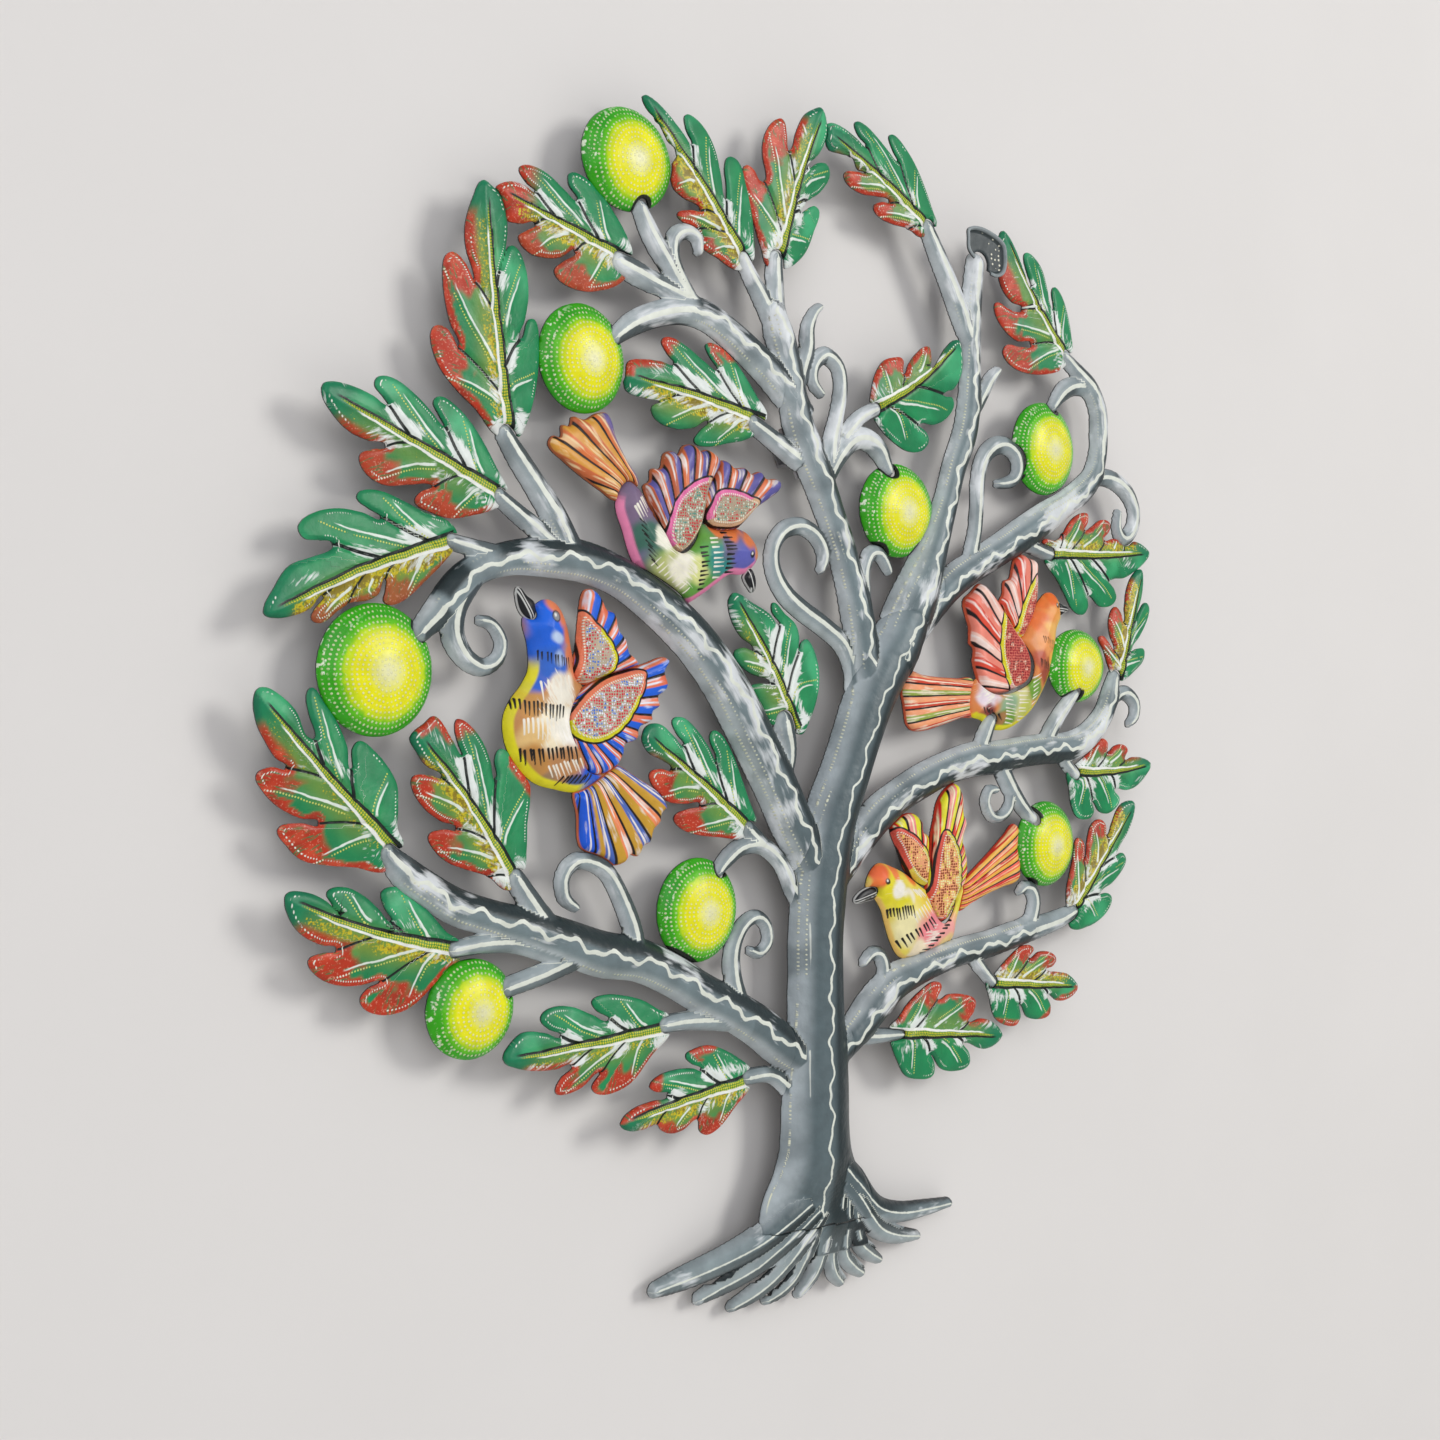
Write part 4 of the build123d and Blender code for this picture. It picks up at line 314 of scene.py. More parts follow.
WOOD = {
    "limb_upper_left": [
        [(10, -96, 10), (3, -80, 12), (-8, -62, 13), (-18, -45, 13), (-29, -28, 13), (-41, -10, 13),
         (-53, 6, 12.5), (-67, 21, 12), (-82, 33, 11.5), (-98, 43, 10.5), (-116, 52, 9.5), (-136, 57.5, 9.5),
         (-156, 58.5, 9), (-176, 57, 7.5), (-192, 52, 7), (-203, 44, 7.5), (-212, 34, 7), (-222, 24, 5)],
        [(-180, 57, 5), (-197, 60.5, 4), (-207, 62.5, 3.5)],
        [(-142, 60, 7), (-152, 76, 7), (-162, 89, 6), (-172, 101, 5.5), (-179, 110, 4.5)],
        [(-150, 62, 6), (-160, 69, 5), (-171, 76, 4.5), (-182, 83, 4)],
        [(-196, 48, 6), (-204, 36, 6), (-206, 24, 6), (-200, 14, 5), (-191, 9.5, 4), (-183, 13, 3.5),
         (-181, 21, 3.3), (-186, 28, 3), (-192, 29.5, 2.4)],
        [(-12, -42, 4), (-9, -30, 5), (-12, -20, 7), (-13, -14, 6)]],
    "limb_lower_left": [
        [(6, -182, 10), (-14, -171, 11), (-30, -160, 10.5), (-48, -150, 10), (-66, -141, 10), (-84, -131, 10),
         (-104, -122.5, 10), (-126, -118, 10.5), (-146, -111, 10), (-166, -104, 9), (-186, -98, 8),
         (-204, -92, 8), (-218, -84, 7.5), (-230, -76, 7), (-238, -68, 4.5)],
        [(-150, -116, 6), (-172, -109.5, 5), (-190, -108.5, 4.5), (-206, -110, 3.5)],
        [(-140, -118, 6), (-158, -124, 5), (-178, -128.5, 4.5)],
        [(-156, -105, 7), (-165, -93, 6), (-173, -82, 5)],
        [(-106, -118, 6), (-108, -107, 5.5), (-114, -94, 5), (-122, -82, 4.5), (-132, -76.5, 4),
         (-141, -76, 4), (-147.5, -82, 4), (-147, -91, 3.5), (-141, -96, 2.4)],
        [(-42, -148, 6), (-46, -135, 5.5), (-46, -122, 5), (-40, -111.5, 4), (-31, -107.5, 3.5),
         (-24.5, -112, 3.5), (-23.5, -120, 3.3), (-29, -125, 3), (-35, -123.5, 2.4)],
        [(-48, -155, 6), (-66, -153.5, 5), (-78, -153, 4.5), (-89, -153.5, 4)],
        [(-4, -198, 6), (-15, -188, 4.5), (-24, -184, 4), (-37, -184, 4)]],
    "twig_middle_left": [
        [(2, -108, 6), (-7, -95, 5), (-15, -82, 4.5), (-27, -73.5, 4.5), (-40, -73.5, 4.5), (-50, -79, 4.5),
         (-55.5, -84, 3.5)],
        [(-28, -73, 5), (-36, -66, 5)]],
    "limb_crown": [
        [(44, 8, 11), (41, 28, 11), (37, 45, 10.5), (32, 60, 9.5), (26, 75, 9.5), (19, 90, 9.5),
         (12, 104, 10), (4, 118, 10.5), (-3, 132, 10), (-7, 145, 9.5), (-10, 158, 9), (-15, 172, 9.5),
         (-20, 184, 8)],
        [(-20, 178, 6), (-27, 190, 5.5), (-34, 199, 4.8), (-40, 207, 4)],
        [(-18, 178, 6.5), (-18.5, 193, 6), (-18.5, 210, 5)],
        [(-2, 114, 6), (-14, 120, 5.5), (-26, 126, 5), (-33, 129, 4.5)],
        [(14, 104, 5), (19, 112, 5), (20, 124, 5.5), (24, 138, 4.5), (27, 152, 4.5), (25, 163, 4.5),
         (16, 168, 4.5), (8, 162, 4), (7, 154, 3.5), (12.5, 148.5, 2.5)],
        [(-4, 148, 5), (0, 160, 5), (3.5, 170, 5), (4, 180, 4.2), (8, 188, 2.8), (11.5, 191, 2.3)],
        [(45, 34, 4), (44, 50, 4.2), (43.5, 62, 4.3), (47.5, 70.5, 4.3), (54.5, 71.5, 4), (59.5, 66, 3.2),
         (61, 63, 2.4)],
        [(16, 106, 5), (26, 120, 6), (36, 128, 6), (46, 129, 6), (55, 124, 6), (61, 115, 4)],
        [(28, 128, 5), (40, 139, 4), (51, 144.5, 3.8)]],
    "arm_crown_left": [
        [(0, 136, 9), (-18, 152, 9), (-33, 162, 8.5), (-48, 170.5, 8), (-64, 177, 7.5), (-80, 177, 6.5),
         (-96, 172.5, 6), (-108, 167, 5.5), (-118, 160, 4)],
        [(-62, 178, 5), (-80, 184.5, 4.5), (-95, 188, 5.5), (-108, 191.5, 6), (-116, 194, 5)],
        [(-76, 184, 4.5), (-88, 199, 5.5), (-97, 210, 5.5), (-103, 220, 4.5)],
        [(-68, 178, 4), (-77, 189, 4.2), (-83.5, 200, 4.3), (-83, 210, 4.3), (-76, 214.5, 3.8),
         (-69, 212.5, 3.5), (-68, 206.5, 2.5)]],
    "curl_crown": [
        [(35, -4, 6), (35, 12, 5.5), (28, 25, 5.5), (14, 34, 5.5), (0, 41, 5.5), (-12, 49, 5.5),
         (-19.5, 60, 5), (-19.5, 71, 4.5), (-12, 79.5, 4.5), (0, 82, 4.5), (10, 77.5, 4.5), (15, 69, 4.3),
         (12.5, 61.5, 2.5)]],
    "limb_upright": [
        [(62, 18, 17), (76, 42, 16), (86, 60, 13.5), (96, 80, 10.5), (105, 100, 8.5), (112, 120, 8.3),
         (121, 140, 8.5), (124.5, 160, 8), (125.5, 180, 7.2), (126, 200, 7), (127, 216, 7), (129, 230, 6.5)],
        [(124, 148, 5), (132, 158, 5), (141, 170, 4), (147, 175.5, 2.6)],
        [(124, 188, 6), (116, 203, 7), (107, 218, 6.5), (98, 232, 6), (91, 243, 5)]],
    "limb_right_outer": [
        [(76, 28, 9), (95, 47, 9.5), (110, 59, 9.5), (128, 69, 9), (146, 77.5, 9), (165, 87, 9.5),
         (185, 97, 9.5), (204, 107, 8), (220, 116, 8), (230, 125, 7.5), (235, 138, 7), (236, 152, 7),
         (235, 163, 7), (228, 174, 7), (219, 181, 6), (205, 190, 4)],
        [(232, 168, 6), (224, 174.5, 5.5), (213, 174.5, 5.5), (203, 170, 5.5), (194, 161, 3.5)],
        [(228, 122, 4), (240, 125.5, 5), (252, 124, 5.5), (263, 118, 5.5), (269, 109, 5), (268, 99, 5),
         (262, 92.5, 4.8), (256, 92.5, 4.2), (252.5, 98, 3.5), (253.5, 106, 2.4)],
        [(122, 66, 6), (128.5, 85, 5), (130.5, 100, 5), (131.5, 115, 5.2), (135, 126, 5.2), (143, 133.5, 5.2),
         (153, 136, 5), (162, 132, 4.8), (164.5, 124.5, 4.5), (161, 118, 3.8), (154, 115.5, 3.2),
         (147, 114.5, 2.4)],
        [(166, 86, 6), (178, 82, 4.5), (191, 79, 4)]],
    "limb_right_middle": [
        [(24, -90, 9), (39, -74, 10), (52, -62.5, 10.5), (68, -53, 9.5), (88, -44.5, 9.5), (108, -38, 9),
         (128, -34, 9.5), (148, -33, 9), (168, -30.5, 8.5), (188, -29, 8.5), (205, -28.5, 8.5),
         (220, -25, 8.5), (232, -18, 8), (241, -9, 7.5), (246, 1, 7), (250, 11, 5)],
        [(130, -32, 6), (137, -21, 5.5), (141, -14, 4.5)],
        [(186, -27, 6), (198, -13, 5), (207, -4, 4.5), (213, 1.5, 3.5)],
        [(244, -6, 4.5), (253, 1, 4), (262, 2.5, 4.5), (269.5, -3, 4.5), (269, -11, 3.8), (264, -15, 2.5)],
        [(148, -36, 6), (158, -50, 6), (168, -60, 5), (176, -67, 4)],
        [(154, -42, 4), (157.5, -52, 3.8), (156, -61, 3.5), (149, -65.5, 3.2), (141, -64, 3.2),
         (137, -57, 3.2), (140, -51, 3), (145.5, -50.5, 2.3)],
        [(200, -31, 5), (207, -38, 4), (214, -43.5, 3.5)]],
    "limb_right_lower": [
        [(18, -182, 9), (37, -169, 10), (50, -158, 11), (65, -148, 10.5), (82, -143.5, 8.5), (100, -139, 8),
         (120, -135.5, 7.5), (140, -133.5, 7.5), (158, -130.5, 7.5), (175, -128, 7), (190, -126, 6),
         (203, -123.5, 5.5), (212, -120.5, 4)],
        [(52, -158, 6), (56.5, -148, 5), (58, -139, 4.5), (55, -132.5, 4), (49, -131.5, 3.5),
         (43, -135.5, 2.5)],
        [(164, -128, 6), (174, -124, 5.5), (178.5, -114, 5), (176, -106.5, 4.5), (169.5, -104.5, 3.5),
         (165.5, -106.5, 2.5)],
        [(126, -138, 5), (134, -146, 4), (142, -153.5, 3.5)],
        [(36, -170, 6), (48, -173, 4.5), (62, -174, 3.5), (70, -174.5, 2.6)]],
}
STUB = [(118, 247), (126, 249), (137, 247), (145, 243), (147, 238), (146, 228), (140, 224), (131, 226),
        (122, 232), (118, 236), (117.5, 242)]
# Painted marks. Rows of strokes are (first, last, how many, stroke, half width).
TRUNK_DASHES = [((-3, -174), (-3, -175), 0, (0.3, -32), 0.5), ((-2, -112), (-2, -113), 0, (0.5, -26), 0.5)]
PALE_LEAVES = ("leaf_13", "leaf_22")
RED_TIPPED = ("leaf_09",)
# How each bird is painted. Wing and tail: first, second and third feather colours, and streak. Patch: ground,
# dots and two hems of the wings' shoulders. Plain: feathers without stripes. Hem: colour, width, the side it
# is on and how high it goes. Dabs and eye: (x, z, radius, colour). Ink and chalk: rows of strokes. Glow: (x,
# z, radius) of chalky places.
PLUMAGE = {
    "bird_purple": {
        "wing": ("#5f5aa0", "#d9703e", "#c0603a", "#e9e2dc"),
        "tail": ("#d99a3c", "#e07a44", "#c96a3c", "#f0d2a0"),
        "patch": ("#a89a80", ("#d8e2cf", "#c8232a", "#4f8f80"), ("#f07ab0", "#d8b08a")), "plain": "#6a5f9c",
        "rim": "#b0613c", "base": "#6f6a8c", "hem": ("#f08ab4", 2.8, (-0.5, -0.85), NO_TOP),
        "dabs": [(-108, 82, 14, "#7d6a86"), (-76, 60, 27, "#5f9a3c"), (-102, 71, 9, "#3c6b5c"),
                 (-88, 56, 13, "#b9c079"), (-82, 58, 9, "#f6f3dc"), (-93, 70, 6.5, "#e8ead4"),
                 (-72, 57, 8, "#d7dc8e"), (-66, 64, 7, "#57a648"), (-58, 62, 9, "#2e8a86"),
                 (-50, 69, 8, "#6d6588"), (-40, 63, 11, "#5f62b4"), (-58, 77, 5.5, "#e0783c"),
                 (-48, 76, 5.5, "#e0783c"), (-38, 73, 5.5, "#dd7a44"), (-32, 67, 4.5, "#d98a5a")],
        "eye": [(-37, 66, 1.7, "#17151a"), (-37.3, 66.4, 0.7, "#f1efe8")],
        "ink": [((-56, 79), (-53, 57), 10, (6, 0.5), 0.75), ((-71, 67), (-71, 48), 8, (5, 0.8), 0.7),
                ((-107, 78), (-100, 60), 7, (5, -4), 0.45)],
        "chalk": [((-64, 72), (-62, 54), 7, (6.5, 0.6), 0.6), ((-110, 84), (-102, 90), 4, (4, -6), 0.75),
                  ((-99, 58), (-80, 46), 7, (4, 4), 0.5)],
        "glow": [(-80, 58, 10), (-93, 70, 7)],
    },
    "bird_blue": {
        "wing": ("#1c62dc", "#ec7f58", "#e06e4a", "#dfe8f4"),
        "tail": ("#c99a30", "#ee8a58", "#4a68b8", "#f0e8e0"),
        "patch": ("#b8ab92", ("#e8ecf0", "#d0242c", "#3a6fd0"), ("#ee8460", "#e2dc1e")), "plain": "#1659d6",
        "rim": "#c96a48", "base": "#c48a52", "hem": ("#e6dc1e", 3.4, (-0.85, -0.5), 12),
        "dabs": [(-158, 30, 13, "#1565e0"), (-160, 19, 11, "#1a63dc"), (-157, 11, 9, "#2f66c8"),
                 (-166, 4, 7, "#2a62cc"), (-153, 38, 5, "#e8855a"), (-148, 32, 5, "#e8855a"),
                 (-146, 24, 5, "#dd7c54"), (-144, 16, 5, "#d97a54"), (-142, 8, 5, "#dd835c"),
                 (-154, 23, 3.6, "#b8cbe8"), (-153, 15, 3.6, "#9fb6e0"), (-152, 1, 8, "#efe3cf"),
                 (-156, -16, 14, "#f6e8c6"), (-149, -17, 9, "#fcf9f0"), (-169, -6, 8, "#c9924e"),
                 (-168, -20, 8, "#e6c07e"), (-166, -31, 9, "#c08a48"), (-150, -33, 10, "#b98454"),
                 (-158, -39, 5, "#9a7a5a"), (-135, -40, 9, "#1c5cd0"), (-143, -42, 6, "#3a4f86")],
        "eye": [(-154, 32.5, 2.6, "#1a1c22"), (-154, 32.5, 2.0, "#8e9094"), (-154.6, 33.1, 0.8, "#e8e8e4")],
        "ink": [((-176, -4), (-152, -7), 12, (-0.6, -6), 0.65),
                ((-173, -26), (-146, -25), 12, (1.8, -6.5), 0.75),
                ((-163, 17), (-147, 14), 8, (0.3, -5), 0.5), ((-150, -38), (-134, -37), 6, (-3, -4), 0.7)],
        "chalk": [((-172, -13), (-157, -12), 6, (0.3, -9), 0.75), ((-159, -33), (-143, -30), 7, (4, -6), 0.6),
                  ((-162, 4), (-148, 6), 4, (0.4, -8), 0.7)],
        "glow": [(-153, -14, 13), (-153, 1, 7)],
    },
    "bird_orange": {
        "wing": ("#ec8672", "#f4c8b8", "#de4e38", "#f8e4dc"),
        "tail": ("#f2a070", "#d64a30", "#9ab04a", "#f4ead0"),
        "patch": ("#d9705e", ("#7c1418", "#a8202a", "#f0c8b0"), ("#f2b8b0", "#e6dc28")), "plain": "#d83c28",
        "rim": "#cf5a3a", "base": "#e08a4a", "hem": ("#e8e01e", 2.8, (0.3, -0.9), NO_TOP),
        "dabs": [(192, 48, 11, "#f0a04a"), (192, 55, 6, "#e8702a"), (184, 51, 5, "#e87a34"),
                 (198, 40, 7, "#f3b456"), (180, 42, 8, "#e87a3e"), (188, 35, 8, "#f2b860"),
                 (181, 30, 8, "#ee9e5c"), (184, 14, 8, "#a04430"), (177, 21, 6, "#c06048"),
                 (160, -3, 13, "#d3d08a"), (150, -6, 9, "#8fae8a"), (151, -13, 8, "#6f9a2c"),
                 (173, 4, 8, "#6f9f2e"), (167, -8, 8, "#c3c95a"), (135, 0, 8, "#eadbe4"),
                 (136, -9, 5, "#8a3a34"), (145, -12, 5, "#a87a4a"), (190, 22, 5, "#f0b04a")],
        "eye": [(194, 50.5, 1.5, "#1c1412"), (193.7, 50.9, 0.6, "#f4efe4")],
        "ink": [((180, 33), (193, 30), 7, (0.8, -5), 0.4), ((176, 21), (191, 17), 8, (1.0, -5), 0.5),
                ((132, -6), (144, -10), 5, (3, -3.5), 0.55)],
        "chalk": [((146, 2), (150, -14), 7, (9, -1), 0.5), ((158, 3), (161, -13), 6, (9, 0), 0.5),
                  ((171, 10), (172, -4), 5, (7, 3), 0.5)],
        "glow": [(134, 1, 7)],
    },
    "bird_yellow": {
        "wing": ("#e6e02a", "#d8241c", "#f08a8a", "#f2ecc0"),
        "tail": ("#f2b84a", "#d01c18", "#ee5c4a", "#f4cc94"),
        "patch": ("#f0a878", ("#f2d860", "#8c2a1c", "#f6f0b0"), ("#e05a4a", "#e8dc5a")), "plain": "#d01c18",
        "rim": "#c83a24", "base": "#ecd95a", "hem": ("#f2c86a", 1.6, (-0.5, -0.85), NO_TOP),
        "dabs": [(60, -99, 12, "#e8dc2a"), (53, -91, 7, "#ea6a3a"), (65, -89, 5.5, "#f0884a"),
                 (78, -94, 5.5, "#e8763e"), (50, -96, 4, "#f07a3a"), (65, -99, 5, "#f6f2e6"),
                 (72, -104, 5, "#f3ecd0"), (68, -109, 7, "#e6dc30"), (72, -119, 12, "#f1e8b0"),
                 (90, -122, 14, "#f08a90"), (103, -122, 10, "#f4a8a0"), (100, -111, 7, "#ee7a78"),
                 (80, -133, 8, "#f6e6c4"), (104, -131, 7, "#f3d48a"), (116, -112, 6, "#e0d83a"),
                 (86, -107, 6, "#eed24a")],
        "eye": [(56.5, -95, 1.6, "#1a1410"), (56.2, -94.6, 0.6, "#f6f2e8")],
        "ink": [((59, -110), (73, -108), 8, (1.6, -6), 0.65), ((66, -126), (88, -115), 8, (3.6, -4.4), 0.8),
                ((105, -118), (88, -134), 7, (-6, 0.2), 0.75)],
        "chalk": [((74, -113), (90, -105), 6, (4, -6), 0.6), ((76, -100), (84, -101), 4, (4, -4), 0.6)],
        "glow": [(65, -99, 6), (90, -126, 8)],
    },
}

# Outline of the dotted shoulder patch of each wing.
PATCHES = {
    "bird_purple_near_wing": [(-89.5, 73), (-88, 82), (-84, 90), (-75, 97), (-66, 100.5), (-61, 99.5),
                              (-63, 92), (-65, 82), (-71, 73), (-79, 64), (-86, 66)],
    "bird_purple_far_wing": [(-63, 80), (-61, 90), (-57, 95), (-48, 96), (-38, 94), (-30, 90.5), (-37, 84),
                             (-43, 80), (-52, 78)],
    "bird_blue_near_wing": [(-147, -13), (-142, -6), (-135, 0), (-126, 5), (-116, 8), (-104, 9.5),
                            (-103.5, 4), (-107, -4), (-113, -13), (-121, -19.5), (-131, -23), (-140, -22),
                            (-146, -18)],
    "bird_blue_far_wing": [(-141, 3), (-140, 15), (-138.5, 35), (-132, 31), (-126, 26), (-121, 20),
                           (-119, 14), (-121, 8), (-130, 3)],
    "bird_orange_near_wing": [(154, 4), (148, 14), (145, 25), (146, 36), (150, 46.5), (156, 41), (163, 34),
                              (170, 27), (174, 18), (171, 8), (162, 3)],
    "bird_orange_far_wing": [(161, 38), (164, 47), (168, 55), (173, 62), (179, 67), (180, 58), (179, 48),
                             (174, 38), (167, 31), (162, 32)],
    "bird_yellow_near_wing": [(89, -108), (92, -98), (94, -88), (96, -79), (99, -71.5), (103, -71),
                              (108, -76), (112, -84), (113, -94), (112, -104), (106, -111), (100, -118),
                              (92, -117)],
    "bird_yellow_far_wing": [(64, -69.5), (69, -80), (75, -90), (83, -97), (91, -99), (93, -92), (90, -84),
                             (84, -77), (75, -71)],
}
# The side of each wing patch that has the first hem colour.
HEM_SIDES = {
    "bird_purple_near_wing": (-0.8, 0.5), "bird_purple_far_wing": (-0.4, 0.9),
    "bird_blue_near_wing": (-0.3, 1.0), "bird_blue_far_wing": (-1.0, 0.1),
    "bird_orange_near_wing": (1.0, -0.3), "bird_orange_far_wing": (1.0, -0.3),
    "bird_yellow_near_wing": (-1.0, 0.0), "bird_yellow_far_wing": (-0.8, 0.6),
}
# Fans: where the feathers meet, and how many there are.
FANS = {
    "bird_purple_near_wing": ((-77, 54), 6), "bird_purple_far_wing": ((-60, 68), 4),
    "bird_purple_tail": ((-97, 84), 4), "bird_blue_near_wing": ((-150, -8), 7),
    "bird_blue_far_wing": ((-142, 0), 5), "bird_blue_tail": ((-139, -22), 6),
    "bird_orange_near_wing": ((180, 2), 5), "bird_orange_far_wing": ((170, 25), 4),
    "bird_orange_tail": ((181, 2), 5), "bird_yellow_near_wing": ((90, -114), 5),
    "bird_yellow_far_wing": ((84, -100), 3), "bird_yellow_tail": ((92, -116), 5),
}
# Plain feathers: no stripes below the second of these counts across the fan, all of them above the first.
PLAIN_FEATHERS = {"bird_blue_tail": (1.3, 1.1), "bird_purple_tail": (0.8, 0.48)}


# ---- Plan geometry

def plan(points, pad, step):
    """Grid coordinates round some points, on whole steps from the disc's centre."""
    points = np.asarray(points, float)
    low = np.floor((points[:, :2].min(0) - pad) / step)
    high = np.ceil((points[:, :2].max(0) + pad) / step)
    return np.meshgrid(np.arange(low[0], high[0] + 1) * step, np.arange(low[1], high[1] + 1) * step)


def outline(points, per_edge=6):
    """The smooth closed outline through some points, as part.py cuts it."""
    p = np.asarray(points, float)
    before, after, beyond = np.roll(p, 1, 0), np.roll(p, -1, 0), np.roll(p, -2, 0)
    reach = HANDLE * np.linalg.norm(after - p, axis=1, keepdims=True)
    leave = p + reach * unit(after - before)
    arrive = after - reach * unit(beyond - p)
    t = (np.arange(per_edge) / per_edge)[None, :, None]
    curve = ((1 - t) ** 3 * p[:, None] + 3 * (1 - t) ** 2 * t * leave[:, None]
             + 3 * (1 - t) * t ** 2 * arrive[:, None] + t ** 3 * after[:, None])
    return curve.reshape(-1, 2)


def unit(v):
    """A vector or rows of vectors, each with length 1."""
    return v / np.maximum(np.linalg.norm(v, axis=-1, keepdims=True), 1e-9)


def smooth_line(points, spacing=3.0):
    """Catmull-Rom points through rows of (x, z, half width)."""
    p = np.asarray(points, float)
    fine = []
    for i in range(len(p) - 1):
        a, b, c, d = (p[min(max(i + k, 0), len(p) - 1)] for k in (-1, 0, 1, 2))
        steps = max(1, math.ceil(math.dist(b[:2], c[:2]) / spacing))
        for s in range(steps + (i == len(p) - 2)):
            t = s / steps
            fine.append(0.5 * (2 * b + (c - a) * t + (2 * a - 5 * b + 4 * c - d) * t ** 2
                               + (3 * b - a - 3 * c + d) * t ** 3))
    return np.array(fine)


def measured(X, Z, origin, way):
    """How far each grid point is from an origin along a direction."""
    return (X - origin[0]) * way[0] + (Z - origin[1]) * way[1]


def long_axis(points):
    """The direction in which some points spread furthest."""
    return np.linalg.eigh(np.cov((points - points.mean(0)).T))[1][:, 1]


def inside_distance(points, X, Z):
    """Distance to a closed outline, below zero inside it."""
    nearest, inside = np.full(X.shape, 1e9), np.zeros(X.shape, bool)
    for (ax, az), (bx, bz) in zip(points, np.roll(points, -1, 0)):
        ex, ez = bx - ax, bz - az
        t = np.clip(((X - ax) * ex + (Z - az) * ez) / max(ex * ex + ez * ez, 1e-9), 0, 1)
        nearest = np.minimum(nearest, np.hypot(X - ax - t * ex, Z - az - t * ez))
        if az != bz:
            inside ^= ((az > Z) != (bz > Z)) & (X < ex * (Z - az) / ez + ax)
    return np.where(inside, -nearest, nearest)


def line_field(line, X, Z):
    """Signed offset from a line, distance along it, half width there and the distance to the widened line."""
    offset, along, width = np.zeros(X.shape), np.zeros(X.shape), np.ones(X.shape)
    rim, run = np.full(X.shape, 1e9), 0.0
    first = unit(line[1, :2] - line[0, :2])
    behind = measured(X, Z, line[0], first) < -0.5
    for a, b in zip(line[:-1], line[1:]):
        ex, ez = b[0] - a[0], b[1] - a[1]
        length = math.hypot(ex, ez)
        t = np.clip(((X - a[0]) * ex + (Z - a[1]) * ez) / length ** 2, 0, 1)
        px, pz = X - a[0] - t * ex, Z - a[1] - t * ez
        w = a[2] + (b[2] - a[2]) * t
        away = np.hypot(px, pz) - w
        if run < 1.6 * line[0, 2] + 4:
            away = np.where(behind, 1e6, away)
        better = away < rim
        side = np.where(ex * pz - ez * px >= 0, 1.0, -1.0)
        offset = np.where(better, side * (away + w), offset)
        along = np.where(better, run + t * length, along)
        width = np.where(better, w, width)
        rim = np.where(better, away, rim)
        run += length
    return offset, along, width, rim


def ramp(low, high, value):
    """0 below low, 1 above high, smooth between."""
    t = np.clip((value - low) / (high - low), 0, 1)
    return t * t * (3 - 2 * t)


def hump(value, width):
    """1 where a value is zero, fading over width."""
    return np.exp(-(value / width) ** 2)


def blotch(X, Z, size, seed):
    """Smooth random patches between -1 and 1 about size mm across."""
    rng = np.random.default_rng(seed)
    total = np.zeros(X.shape)
    for _ in range(9):
        angle, phase = rng.uniform(0, math.tau, 2)
        pitch = size * rng.uniform(0.7, 1.7)
        total += np.sin((X * math.cos(angle) + Z * math.sin(angle)) * math.tau / pitch + phase)
    return np.clip(total / 4.5, -1, 1)


def sample(grid, X, Z):
    """Values of a whole-disc field at other grid points."""
    col = np.clip((X - DISC_X[0, 0]) / GRID, 0, DISC_X.shape[1] - 1.001)
    row = np.clip((Z - DISC_Z[0, 0]) / GRID, 0, DISC_X.shape[0] - 1.001)
    i, j = row.astype(int), col.astype(int)
    u, v = col - j, row - i
    return ((1 - v) * ((1 - u) * grid[i, j] + u * grid[i, j + 1])
            + v * ((1 - u) * grid[i + 1, j] + u * grid[i + 1, j + 1]))


# ---- Sheet pieces

def cut_grid(D):
    """The part of a grid where D is below zero: kept grid points, new edge points and the faces."""
    rows, cols = D.shape
    inside, flat = D < 0, D.ravel()
    corners = np.stack([inside[:-1, :-1], inside[:-1, 1:], inside[1:, 1:], inside[1:, :-1]])
    index = np.arange(rows * cols).reshape(rows, cols)
    full = corners.all(0)
    cell_corners = (index[:-1, :-1], index[:-1, 1:], index[1:, 1:], index[1:, :-1])
    quads = np.stack([corner[full] for corner in cell_corners], 1)
    crossings, ends, rest = {}, [], []
    for i, j in zip(*np.nonzero(corners.any(0) & ~full)):
        ring = (index[i, j], index[i, j + 1], index[i + 1, j + 1], index[i + 1, j])
        face = []
        for a, b in zip(ring, ring[1:] + ring[:1]):
            if flat[a] < 0:
                face.append(int(a))
            if (flat[a] < 0) != (flat[b] < 0):
                key = (min(a, b), max(a, b))
                if key not in crossings:
                    crossings[key] = rows * cols + len(ends)
                    share = flat[key[0]] / (flat[key[0]] - flat[key[1]])
                    ends.append((key[0], key[1], min(max(share, 0.06), 0.94)))
                face.append(crossings[key])
        rest.append(face)
    return quads.tolist() + rest, ends


def edge_points(field, ends):
    """A field's values at the grid points and at the new edge points."""
    a, b, t = ends
    values = field.ravel()
    return np.concatenate([values, values[a] * (1 - t) + values[b] * t])


